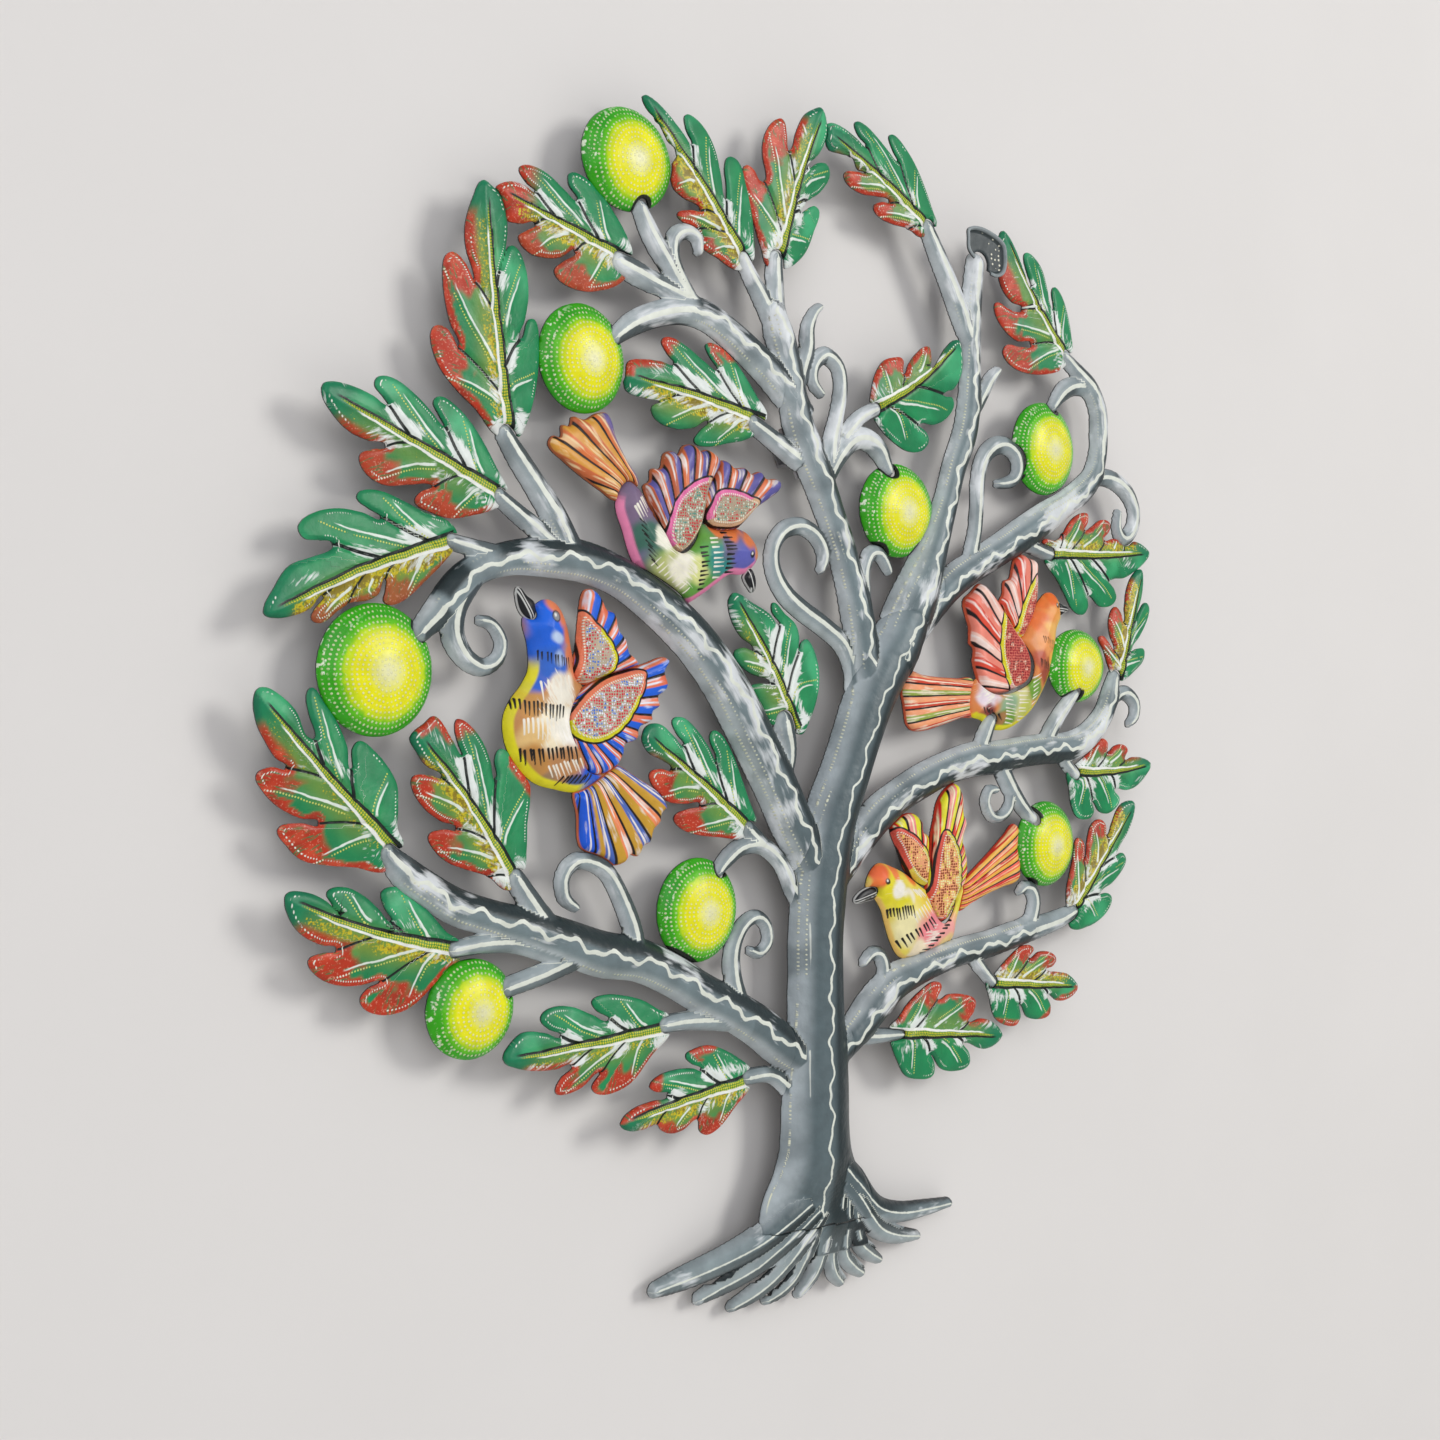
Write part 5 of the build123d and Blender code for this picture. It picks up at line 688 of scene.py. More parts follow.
def sheet(name, node, material, X, Z, D, height, fields, tint):
    """A closed piece of sheet over the part of the plan where D is below zero."""
    faces, ends = cut_grid(D)
    ends = np.array(ends)
    ends = (ends[:, 0].astype(int), ends[:, 1].astype(int), ends[:, 2])
    used = np.unique(np.concatenate([np.array(f) for f in faces]))
    renumber = np.full(X.size + len(ends[0]), -1)
    renumber[used] = np.arange(len(used))
    faces = [renumber[f].tolist() for f in faces]
    x, z, h = (edge_points(f, ends)[used] for f in (X, Z, height))
    worn = h - EDGE_WEAR * np.exp(np.minimum(edge_points(D, ends)[used], 0) / 0.5)
    count = len(used)
    front = np.stack([(x - HANGER_AT[0]) * MM, (-STANDOFF - worn) * MM, (z - HANGER_AT[1]) * MM], 1)
    back = front + [0, SHEET * MM, 0]
    directed = np.array([(a, b) for f in faces for a, b in zip(f, f[1:] + f[:1])])
    keys = np.sort(directed, 1) @ [count, 1]
    _, first, uses = np.unique(keys, return_index=True, return_counts=True)
    walls = [(b, a, a + count, b + count) for a, b in directed[first[uses == 1]].tolist()]
    behind = [[v + count for v in reversed(f)] for f in faces]
    mesh = bpy.data.meshes.new(name)
    mesh.from_pydata(np.concatenate([front, back]).tolist(), [], faces + behind + walls)
    mesh.polygons.foreach_set("use_smooth", [True] * len(mesh.polygons))
    mesh.set_sharp_from_angle(angle=math.radians(50))
    values = {label: np.tile(edge_points(field, ends)[used], 2) for label, field in fields.items()}
    values["painted"] = np.concatenate([np.ones(count), np.zeros(count)])
    for label, value in values.items():
        mesh.attributes.new(label, "FLOAT", "POINT").data.foreach_set("value", value)
    colours = np.stack([edge_points(tint[..., k], ends)[used] for k in range(3)] + [np.ones(count)], 1)
    painter = mesh.attributes.new("tint", "FLOAT_COLOR", "POINT")
    painter.data.foreach_set("color", np.tile(colours, (2, 1)).ravel())
    piece = bpy.data.objects.new(name, mesh)
    bpy.context.scene.collection.objects.link(piece)
    mesh.materials.append(material)
    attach(piece, "root")
    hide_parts(node)


def linear(code):
    """A #rrggbb colour in linear light."""
    values = np.array([int(code[k:k + 2], 16) for k in (1, 3, 5)]) / 255
    return np.where(values > 0.04045, ((values + 0.055) / 1.055) ** 2.4, values / 12.92)


def wash(shape, code):
    """A tint of one colour."""
    return np.tile(linear(code), shape + (1,))


def brush(tint, weight, code):
    """Lays one colour over a tint, as strongly as weight says."""
    weight = np.clip(weight, 0, 1)[..., None]
    return tint * (1 - weight) + linear(code) * weight


# ---- Paint, built from node expressions

class Signal:
    """A node output that can be used in arithmetic."""

    def __init__(self, paint, socket):
        self.paint, self.socket = paint, socket

    def __add__(self, other):
        return self.paint.math("ADD", self, other)

    def __sub__(self, other):
        return self.paint.math("SUBTRACT", self, other)

    def __rsub__(self, other):
        return self.paint.math("SUBTRACT", other, self)

    def __mul__(self, other):
        return self.paint.math("MULTIPLY", self, other)

    def __truediv__(self, other):
        return self.paint.math("DIVIDE", self, other)

    def __abs__(self):
        return self.paint.math("ABSOLUTE", self)

    __radd__, __rmul__ = __add__, __mul__

    def floor(self):
        return self.paint.math("FLOOR", self)

    def fract(self):
        return self.paint.math("FRACT", self)

    def below(self, limit, soft=0.3):
        """1 where the signal is below limit, 0 above, over a soft edge."""
        return self.paint.math("MULTIPLY_ADD", limit - self, 1 / soft, 0.5, clamp=True)

    def above(self, limit, soft=0.3):
        """1 where the signal is above limit, 0 below, over a soft edge."""
        return self.paint.math("MULTIPLY_ADD", self - limit, 1 / soft, 0.5, clamp=True)


class Paint:
    """One node material under construction."""

    def __init__(self, name):
        self.material = bpy.data.materials.new(name)
        self.material.use_nodes = True
        self.tree = self.material.node_tree
        self.tree.nodes.clear()
        self.shader = self.node("ShaderNodeBsdfPrincipled")
        surface = self.node("ShaderNodeOutputMaterial")
        self.tree.links.new(self.shader.outputs[0], surface.inputs["Surface"])
        self.place = self.node("ShaderNodeTexCoord").outputs["Object"]

    def node(self, kind, **settings):
        made = self.tree.nodes.new(kind)
        for key, value in settings.items():
            setattr(made, key, value)
        return made

    def feed(self, socket, value):
        if isinstance(value, Signal):
            self.tree.links.new(value.socket, socket)
        elif hasattr(value, "is_output"):
            self.tree.links.new(value, socket)
        else:
            socket.default_value = value

    def math(self, operation, *values, clamp=False):
        made = self.node("ShaderNodeMath", operation=operation, use_clamp=clamp)
        for socket, value in zip(made.inputs, values):
            self.feed(socket, value)
        return Signal(self, made.outputs[0])

    def attribute(self, name):
        return Signal(self, self.node("ShaderNodeAttribute", attribute_name=name).outputs["Fac"])

    def attributes(self, *names):
        return [self.attribute(name) for name in names]

    def tint(self):
        return self.node("ShaderNodeAttribute", attribute_name="tint").outputs["Color"]

    def noise(self, size, detail=3.0, at=None):
        """Noise about size mm across, from 0 to 1."""
        made = self.node("ShaderNodeTexNoise")
        self.feed(made.inputs["Vector"], at or self.place)
        self.feed(made.inputs["Scale"], (1.0 if at else 1000.0) / size)
        self.feed(made.inputs["Detail"], detail)
        return Signal(self, made.outputs["Fac"])

    def cells(self, size, loose):
        """Distance to the nearest of scattered points about size mm apart, in spacings."""
        made = self.node("ShaderNodeTexVoronoi", feature="F1")
        for key, value in (("Vector", self.place), ("Scale", 1000.0 / size), ("Randomness", loose)):
            self.feed(made.inputs[key], value)
        return Signal(self, made.outputs["Distance"])

    def vector(self, x, y, z=0.0):
        made = self.node("ShaderNodeCombineXYZ")
        for socket, value in zip(made.inputs, (x, y, z)):
            self.feed(socket, value)
        return made.outputs[0]

    def over(self, below, weight, code):
        """Paints a colour over another where weight is 1."""
        made = self.node("ShaderNodeMix", data_type="RGBA")
        factor, bottom, top = made.inputs[0], made.inputs[6], made.inputs[7]
        self.feed(factor, weight)
        self.feed(bottom, below)
        self.feed(top, (*linear(code), 1.0))
        return made.outputs[2]

    def dots(self, across, run, pitch, radius):
        """A row of round dots along run, centred where across is zero."""
        step = ((run / pitch).fract() - 0.5) * pitch
        return self.math("SQRT", across * across + step * step).below(radius, 0.25)

    def brushed(self, colour, raised, gloss, hammer):
        """Finishes the material: worn bare back and rim, brush marks, hammer dents and raised dots."""
        painted = self.attribute("painted")
        mottle = self.noise(7.0, 5.0)
        value = self.node("ShaderNodeHueSaturation")
        self.feed(value.inputs["Value"], mottle * 0.5 + 0.75)
        self.feed(value.inputs["Color"], colour)
        steel = self.over(value.outputs[0], (painted + self.noise(1.6) * 0.3).below(0.75, 0.3), "#3a3c3d")
        self.feed(self.shader.inputs["Base Color"], steel)
        self.feed(self.shader.inputs["Roughness"], self.noise(5.0, 4.0) * 0.35 + gloss - 0.12)
        self.shader.inputs["Specular IOR Level"].default_value = 0.3
        self.shader.inputs["Coat Weight"].default_value = 0.08
        self.shader.inputs["Coat Roughness"].default_value = 0.25
        relief = self.noise(5.0, 2.0) * hammer + self.noise(0.9, 3.0) * 0.07 + raised * 0.35
        bump = self.node("ShaderNodeBump")
        bump.inputs["Strength"].default_value = 0.8
        bump.inputs["Distance"].default_value = MM
        self.feed(bump.inputs["Height"], relief)
        self.feed(self.shader.inputs["Normal"], bump.outputs[0])
        return self.material


# ---- Paints: one function for each material

def midrib_band(share):
    """Half width of the painted band along a leaf's midrib."""
    return MIDRIB - share * MIDRIB_TAPER


def leaf_paint():
    """Green leaf: dotted midrib band between a white and a black line, veins, dotted lobes, white scuffs."""
    p = Paint("leaf_paint")
    across, along, share, lower, edge = p.attributes("across", "along", "share", "lower", "edge")
    vein, run, passed, gap = p.attributes("vein", "vein_run", "passed", "gap")
    red, gold, worn = p.attributes("red", "gold", "scuff")
    wobble = p.noise(11.0, 2.0) * 1.6 - 0.8
    across_w, vein_w = across + wobble, vein + wobble
    band = midrib_band(share)
    streak = p.noise(1.0, 5.0, p.vector(run * 0.14 + along * 0.02, vein * 0.8, across * 0.12))
    colour = p.over(p.tint(), (p.noise(1.1, 2.0) * 0.9 + gold).above(1.0, 0.1), "#c9b822")
    colour = p.over(colour, (p.noise(1.7, 2.0) * 0.9 + gold).above(1.12, 0.12), "#8a7a20")
    colour = p.over(colour, streak.below(0.4, 0.06) * red * 0.75, "#1a7a48")
    colour = p.over(colour, p.noise(1.0, 3.0).above(0.62, 0.06) * red * 0.5, "#e9a88c")
    colour = p.over(colour, (streak * 0.9 + worn).above(0.9, 0.16) * 0.95, "#e6ece8")
    groove = abs(gap + wobble * 0.4).below(0.8 - lower * 0.25, 0.3)
    colour = p.over(colour, groove, "#0b1a16")
    rough = p.noise(2.4, 3.0) * 0.5 - 0.25
    vein_line = abs(vein_w).below(0.75 - passed * 0.6 + rough, 0.3)
    vein_line = vein_line * passed.above(0.12, 0.05) * passed.below(0.78, 0.06)
    colour = p.over(colour, vein_line * 0.95, "#e2ece2")
    broken = p.noise(7.0, 2.0).above(0.38, 0.05)
    rows = p.dots(vein_w - 2.0, run, 1.35, 0.4) * passed.above(0.12, 0.05) * passed.below(0.93, 0.02) * broken
    colour = p.over(colour, rows, "#ccd66a")
    colour = p.over(colour, rows * red, "#f2e6dc")
    hem = p.dots(edge - 1.9, along * 0.8 + run * 0.6, 1.5, 0.36) * p.noise(13.0, 2.0).above(0.53, 0.05)
    colour = p.over(colour, hem, "#e9efe2")
    core = abs(across_w).below(band, 0.4) * share.below(0.9, 0.06)
    colour = p.over(colour, core * 0.85, "#4c8f2e")
    grain = p.dots(((across_w / 1.15 + rough).fract() - 0.5) * 1.15, along + rough * 2.0, 1.25, 0.46) * core
    colour = p.over(colour, grain, "#cfca30")
    black = abs(across_w + band).below(0.85 - share * 0.35, 0.25) * share.below(0.94, 0.03)
    colour = p.over(colour, black, "#0b1a16")
    white = abs(across_w - band - 0.5).below(0.85 - share * 0.6 + rough, 0.3) * share.below(0.82, 0.04)
    colour = p.over(colour, white, "#eef1ea")
    return p.brushed(colour, (rows + grain + hem) * 0.6, 0.34, 0.35)


def limb_paint(name):
    """Grey bark: a wavy off-white crest line, dry white scuffs along it and rows of tiny cream dots."""
    p = Paint(name)
    crest, line, along, offset = p.attributes("crest", "line", "along", "offset")
    edge, big, light, bare, dash = p.attributes("edge", "big", "light", "bare", "dash")
    streak = p.noise(1.0, 6.0, p.vector(along * 0.07, offset * 0.4))
    patch = p.noise(30.0, 2.0)
    near = abs(crest).below(3.0, 5.0)
    dry = (streak + patch * 2.0 + near * 0.2 - bare * 0.5).above(1.72, 0.24)
    colour = p.over(p.tint(), dry * 0.9, "#dfe4e6")
    rough = p.noise(2.2, 4.0) - 0.5
    wobble = p.noise(6.0, 3.0) * 1.8 - 0.9
    colour = p.over(colour, abs(crest + wobble * big).below(line + rough * 0.7, 0.3), "#dde2d6")
    colour = p.over(colour, dash.below(0.0, 0.3) * 0.9, "#d5dad2")
    dots = p.dots(edge - 2.4, along, 1.9, 0.45) * big * light * p.noise(9.0, 2.0).above(0.42, 0.1)
    dots = dots + p.dots(edge - 5.2, along, 2.3, 0.42) * big * light * patch.above(0.55, 0.05)
    colour = p.over(colour, dots, "#dcdec4")
    colour = p.over(colour, edge.below(0.55, 0.3) * (1.0 - light) * 0.8, "#1d2629")
    return p.brushed(colour, dots * 0.7, 0.34, 0.6)


def fruit_paint():
    """Green fruit: brighter to a cream middle, with rings of punched dots and glints at the rim."""
    p = Paint("fruit_paint")
    dx, dz, size, lit, stem_shade_and_ink = p.attributes("dx", "dz", "size", "lit", "stem_shade_and_ink")
    across, up = dx - size * 0.05, dz + size * 0.04
    reach = p.math("SQRT", across * across + up * up)
    glow = reach / size + p.noise(3.0, 4.0) * 0.12 - 0.06
    colour = p.tint()
    for limit, soft, code in ((0.82, 0.08, "#62c414"), (0.72, 0.07, "#c4e010"), (0.61, 0.1, "#ecea10"),
                              (0.2, 0.3, "#ecebb4")):
        colour = p.over(colour, glow.below(limit, soft), code)
    ring = (reach / DOT_RING).floor()
    count = ((ring + 0.5) * (math.tau * DOT_RING / 2.0)).floor()
    turn = p.math("ARCTAN2", up, across) / math.tau + 0.5
    step = (turn * count).fract() - 0.5
    gap = reach - (ring + 0.5) * DOT_RING + p.noise(3.0, 1.0) * 0.8 - 0.4
    dots = p.math("SQRT", gap * gap + step * step * 4.0).below(0.5, 0.25)
    dots = dots * p.noise(4.0, 2.0).above(0.42, 0.12)
    rim = p.math("SQRT", dx * dx + dz * dz) / size
    dots = dots * rim.below(0.96, 0.02)
    colour = p.over(colour, dots * 0.65, "#f1f2c8")
    glint = (p.noise(1.0, 3.0, p.vector(turn * 40.0, reach * 0.35)) + rim * 0.3).above(0.9, 0.05)
    colour = p.over(colour, glint * rim.above(0.7, 0.1) * lit * 0.9, "#e9f3da")
    # painted dark where the fruit meets a stem: black strokes and painted shade at the joint
    colour = p.over(colour, stem_shade_and_ink.above(0.5, 0.25), "#10180c")
    return p.brushed(colour, dots * 0.7, 0.26, 0.3)


def feather_paint(name, feathers, look):
    """Fanned feathers: two colours, a pale streak and a black groove each; the shoulder patch is dotted."""
    first, second, third, streak_code = feathers
    patch_code, dot_codes, hem_codes = look["patch"]
    p = Paint(name)
    fan, reach, patch, edge, run = p.attributes("fan", "reach", "patch", "edge", "hem_run")
    plain, hem_side = p.attributes("plain", "hem")
    fan = fan + p.noise(16.0, 2.0) * 0.14 - 0.07
    part = fan.fract()
    colour = p.over(p.tint(), part.above(0.0, 0.02), first)
    colour = p.over(colour, part.above(0.5, 0.06), second)
    odd = ((fan * 0.5).fract() - 0.5).above(0.0, 0.02)
    colour = p.over(colour, odd * part.above(0.5, 0.06), third)
    scuff = p.noise(1.0, 5.0, p.vector(fan * 3.0, reach * 0.06))
    colour = p.over(colour, plain, look["plain"])
    colour = p.over(colour, abs(part - 0.68).below(0.05, 0.06) * scuff.above(0.42, 0.1), streak_code)
    colour = p.over(colour, scuff.above(0.6, 0.1) * 0.75, streak_code)
    groove = abs((fan + 0.5).fract() - 0.5).below(0.07, 0.04)
    colour = p.over(colour, groove, "#150d0f")
    colour = p.over(colour, edge.below(0.45, 0.3), look["rim"])
    inside = patch.below(0.0, 0.4)
    spot = p.cells(1.45, 0.3).below(0.42, 0.12) * inside
    cluster = p.noise(4.6, 1.0)
    hem = abs(patch + 1.4).below(1.4, 0.3)
    hem_dots = p.dots(patch + 2.2, run, 1.3, 0.42)
    for weight, code in ((inside, patch_code), (spot, dot_codes[0]),
                         (spot * cluster.above(0.5, 0.03), dot_codes[1]),
                         (spot * cluster.below(0.41, 0.04), dot_codes[2]),
                         (hem * hem_side, hem_codes[0]), (hem * hem_side.below(0.5, 0.2), hem_codes[1]),
                         (hem_dots, "#f4ecd8"), (abs(patch - 0.25).below(0.5, 0.25), "#1c0e0c")):
        colour = p.over(colour, weight, code)
    return p.brushed(colour, (spot + hem_dots) * 0.7, 0.34, 0.3)


def plumage_paint(name):
    """A bird's body: soft dabs of colour with rows of short black and pale strokes."""
    p = Paint(name)
    along, across, glow, chalk, ink = p.attributes("along", "across", "glow", "chalk", "ink")
    scuff = p.noise(1.0, 4.0, p.vector(along * 0.12, across * 0.9))
    colour = p.over(p.tint(), (scuff + glow * 0.35).above(0.78, 0.1) * 0.8, "#f3efdf")
    colour = p.over(colour, chalk.below(0.0, 0.3), "#efeadb")
    colour = p.over(colour, ink.below(0.0, 0.25), "#16110e")
    return p.brushed(colour, ink.below(0.0, 0.4) * -1.0, 0.36, 0.35)


def beak_paint():
    """Black beak with fine white edges and a white seam."""
    p = Paint("beak_paint")
    across, edge = p.attributes("across", "edge")
    seam = abs(across).below(0.28, 0.2)
    colour = p.over(p.tint(), edge.below(0.4, 0.25) * 0.8, "#dfe0dc")
    colour = p.over(colour, seam, "#d5d6d2")
    stray = abs(across - 1.3).below(0.35, 0.3) * p.noise(5.0, 1.0).above(0.45, 0.1)
    colour = p.over(colour, stray, "#c9ccc8")
    return p.brushed(colour, seam, 0.3, 0.2)


def stub_paint():
    """Dark sawn end: scattered cream dots and a pale lip."""
    p = Paint("stub_paint")
    edge = p.attribute("edge")
    dots = p.cells(2.6, 0.35).below(0.26, 0.08) * edge.above(2.4, 0.3)
    colour = p.over(p.tint(), dots, "#e8e6d2")
    colour = p.over(colour, edge.below(1.9, 0.4), "#8b9496")
    return p.brushed(colour, dots, 0.36, 0.4)


def steel_paint():
    """Bare hanger strap: rolled grey steel with light rust."""
    p = Paint("strap_steel")
    rust = p.noise(9.0, 6.0)
    colour = p.over((0.36, 0.355, 0.37, 1.0), rust.above(0.66, 0.1), "#8a7568")
    p.feed(p.shader.inputs["Base Color"], colour)
    p.feed(p.shader.inputs["Roughness"], p.noise(3.0, 4.0) * 0.3 + 0.3)
    p.shader.inputs["Metallic"].default_value = 0.3
    return p.material


# ---- Wood

STEPS = np.arange(-DISC_REACH, DISC_REACH + 1) * GRID
DISC_X, DISC_Z = np.meshgrid(STEPS, STEPS)


def soft_max(a, b, blend=2.4):
    """The higher of two heights, with the crease between them filled over blend mm."""
    return np.maximum(a, b) + np.maximum(0, blend - np.abs(a - b)) ** 2 / (4 * blend)


def rib_line(node, points):
    """A rib's fine centre line; roots start inside the trunk, and the trunk runs down among them."""
    line = smooth_line(points)
    if node in ROOTS:
        line = np.vstack([line[:1], line])
        line[0, :2] -= ROOT_LEAD * unit(line[2, :2] - line[1, :2])
    elif node == "trunk":
        line = np.vstack([line[:1] - [0, TRUNK_FOOT, 2], line])
    return line


def rib_height(node, along, width, share, big):
    """Height of a hammered rib: an arch that fades in at the trunk's foot and drops back at root tips."""
    crown = np.clip(RIB_RISE * width, RIB_LOWEST, RIB_HIGHEST)
    arch = (crown - EDGE_LEVEL) * (1 - share ** (2.6 - 0.5 * big)) ** 0.8
    if node == "trunk":
        arch *= 0.32 * ramp(0, TRUNK_FOOT, along) + 0.68 * ramp(TRUNK_FOOT - 4, TRUNK_FOOT + 34, along)
    drop = ROOT_DROP * (along / along.max()) ** 2 if node in ROOTS else 0.0
    return EDGE_LEVEL + arch - drop


def rib_lean(node, offset, big):
    """Above 0 on the flank that is painted dark, below 0 on the lit one."""
    slope_z, slope_x = np.gradient(np.abs(offset))
    lean = slope_x * DARK_SIDE[0] + slope_z * DARK_SIDE[1]
    outward = big * (node not in ROOTS)
    return lean * (1 - outward) + np.where(offset < 0, 0.5, -0.5) * outward


def crest_wave(node, order, k, along, width, big):
    """The painted crest line's sideways wave, and its half width."""
    if node in ROOTS:
        return 0.0, 0.45
    wave = 1.6 * np.sin(along * math.tau / 25 + 2.4 * order + k) * big
    wave += 0.8 * np.sin(along * math.tau / 10.5 + order) * big
    return (wave * 0.8, 0.7) if node == "trunk" else (wave, np.where(width < 7, 0.21 * width, 1.0))


def wood_fields(nodes):
    """One height and paint field for all the wood, and each node's distance field."""
    keys = ("crest", "line", "along", "offset", "big", "light", "dark", "pale", "share")
    field = {key: np.zeros(DISC_X.shape) for key in keys}
    height, highest = np.full(DISC_X.shape, NO_METAL), np.full(DISC_X.shape, NO_METAL)
    rims = {}
    for order, (node, ribs) in enumerate(nodes.items()):
        rims[node] = np.full(DISC_X.shape, FAR)
        for k, points in enumerate(ribs):
            line = rib_line(node, points)
            low = (line[:, :2].min(0) - RIB_REACH + DISC_REACH).astype(int).clip(0)
            high = (line[:, :2].max(0) + RIB_REACH + DISC_REACH).astype(int) + 1
            at = (slice(low[1], high[1]), slice(low[0], high[0]))
            offset, along, width, rim = line_field(line, DISC_X[at], DISC_Z[at])
            own_rim = rim
            if node == "trunk":
                own_rim = line_field(smooth_line(points), DISC_X[at], DISC_Z[at])[3]
            share = np.clip(np.abs(offset) / width, 0, 1)
            big = ramp(THIN_RIB, BIG_RIB, width)
            own = np.where(rim < RIB_SKIRT, rib_height(node, along, width, share, big), NO_METAL)
            height[at] = soft_max(height[at], own)
            ahead = own > highest[at]
            highest[at] = np.maximum(highest[at], own)
            lean = rib_lean(node, offset, big)
            wave, band = crest_wave(node, order, k, along, width, big)
            values = {
                "crest": offset - wave, "line": band, "along": along, "offset": offset, "big": big,
                "share": share, "light": ramp(0.1, -0.2, lean),
                "pale": ramp(0.1, -0.6, lean) * ramp(0.4, 0.85, share),
                "dark": ramp(0.0, 0.35, np.abs(lean)) * ramp(-0.12, 0.18, share * np.sign(lean) - 0.12 * big),
            }
            for key, value in values.items():
                field[key][at] = np.where(ahead, value, field[key][at])
            rims[node][at] = np.minimum(rims[node][at], own_rim)
    field["height"] = np.maximum(height, EDGE_LEVEL - ROOT_DROP)
    return field, rims


def bark_tint(node, rooted, part, trunk_gap, X, Z):
    """Grey bark: darker round the trunk and on dark flanks, paler on lit flanks and towards the crown."""
    small = (1 - part["big"]) * (not rooted)
    tint = brush(wash(X.shape, "#76868a"), ramp(70, -5, trunk_gap) * ramp(62, -20, Z), "#5a696d")
    tint = brush(tint, small * 0.7, "#98a4a7")
    tint = brush(tint, ramp(40, 170, Z) * ramp(90, 30, X) * 0.5, "#b4bec1")
    tint = brush(tint, part["pale"] * 0.9, "#b3bdc1" if node == "trunk" else "#c6ced0")
    tint = brush(tint, 0.45 * np.maximum(blotch(X, Z, 30, 5), 0), "#4d5b5f")
    return brush(tint, part["dark"] * (0.95 - 0.15 * small), "#1b292b")


def root_tint(tint, part, foot, Z):
    """Painted shade in the gaps between the roots, and a pale painted highlight on their lit backs towards
    the tips.
    """
    # painted shade on the flanks where the roots part, less of it on the lit side
    shade = foot * ramp(0.5, 0.85, part["share"]) * (1 - 0.8 * part["light"])
    tint = brush(tint, shade, "#1d282b")
    # painted highlight on the lit backs of the roots, growing towards their tips
    lit = foot * ramp(0.9, 0.4, part["share"]) * (0.35 + 0.65 * part["light"])
    return brush(tint, lit * ramp(-258, -284, Z) * 0.8, "#a3afb0")


def build_wood():
    """Every wood node, cut from the one field; returns the distance to all the wood."""
    field, rims = wood_fields({"trunk": [TRUNK], **ROOTS, **WOOD})
    paints = {"trunk_grey": limb_paint("trunk_paint"), "limb_grey": limb_paint("limb_paint")}
    taken = np.full(DISC_X.shape, FAR)
    all_wood = np.minimum.reduce(list(rims.values()))
    for node, rim in rims.items():
        D = np.maximum(rim, -taken)
        rows, cols = np.nonzero(D < 2)
        at = (slice(max(rows.min() - 2, 0), rows.max() + 3), slice(max(cols.min() - 2, 0), cols.max() + 3))
        X, Z, part = DISC_X[at], DISC_Z[at], {key: values[at] for key, values in field.items()}
        rooted = node == "trunk" or node in ROOTS
        tint = bark_tint(node, rooted, part, rims["trunk"][at], X, Z)
        fields = {key: part[key] for key in ("crest", "line", "along", "offset", "big", "light")}
        if rooted:
            foot = ramp(FOOT_FROM, FOOT_TO, Z)
            tint = root_tint(tint, part, foot, Z)
            fields["big"] = fields["big"] * (1 - foot)
        bare = 1.1 if node == "trunk" else 0.3 if rooted else 0.1
        fields["bare"] = bare + 0.2 * (1 - fields["big"]) - 0.3 * ramp(60, 160, Z)
        fields["edge"] = -all_wood[at]
        fields["dash"] = strokes(TRUNK_DASHES, X, Z)
        slot = "trunk_grey" if rooted else "limb_grey"
        sheet(node + "_steel", node, paints[slot], X, Z, D[at], part["height"], fields, tint)
        taken = np.minimum(taken, rim)
    return all_wood


# ---- Outlines in front of each other

def cut_out(points, step, taken):
    """An outline, its grid, the distance to it, and the distance to what shows of it."""
    ring = outline(points)
    X, Z = plan(ring, 4, step)
    own = inside_distance(ring, X, Z)
    return ring, X, Z, own, np.maximum(own, -sample(taken, X, Z))


def claim(taken, X, Z, own):
    """Marks an outline's room as taken in the whole-disc distance field."""
    on_x, on_z = (np.nonzero(np.abs(v / GRID - np.round(v / GRID)) < 1e-6)[0] for v in (X[0], Z[:, 0]))
    part = own[np.ix_(on_z, on_x)]
    col, row = (int(round(v / GRID + DISC_REACH)) for v in (X[0, on_x[0]], Z[on_z[0], 0]))
    at = (slice(row, row + part.shape[0]), slice(col, col + part.shape[1]))
    part = part[:taken[at].shape[0], :taken[at].shape[1]]
    taken[at] = np.minimum(taken[at], part)


# ---- Leaves

def notches_of(ring, reach=8.0, depth=1.0):
    """Ring positions at the bottom of each notch in a closed outline."""
    closed = np.vstack([ring, ring[:1]])
    arc = np.concatenate([[0], np.cumsum(np.linalg.norm(np.diff(closed, axis=0), axis=1))])

    def shifted(by):
        at = (arc[:-1] + by) % arc[-1]
        return np.stack([np.interp(at, arc, closed[:, k]) for k in (0, 1)], 1)

    before, after = shifted(-reach), shifted(reach)
    area = np.sum(closed[:-1, 0] * closed[1:, 1] - closed[1:, 0] * closed[:-1, 1])
    chord = unit(after - before) * np.sign(area)
    middle = (before + after) / 2
    inset = (ring[:, 1] - middle[:, 1]) * chord[:, 0] - (ring[:, 0] - middle[:, 0]) * chord[:, 1]
    found = []
    for i in np.argsort(-inset):
        gaps = [min(abs(arc[i] - arc[j]), arc[-1] - abs(arc[i] - arc[j])) for j in found]
        if inset[i] > depth and min(gaps, default=99) > reach:
            found.append(int(i))
    return found


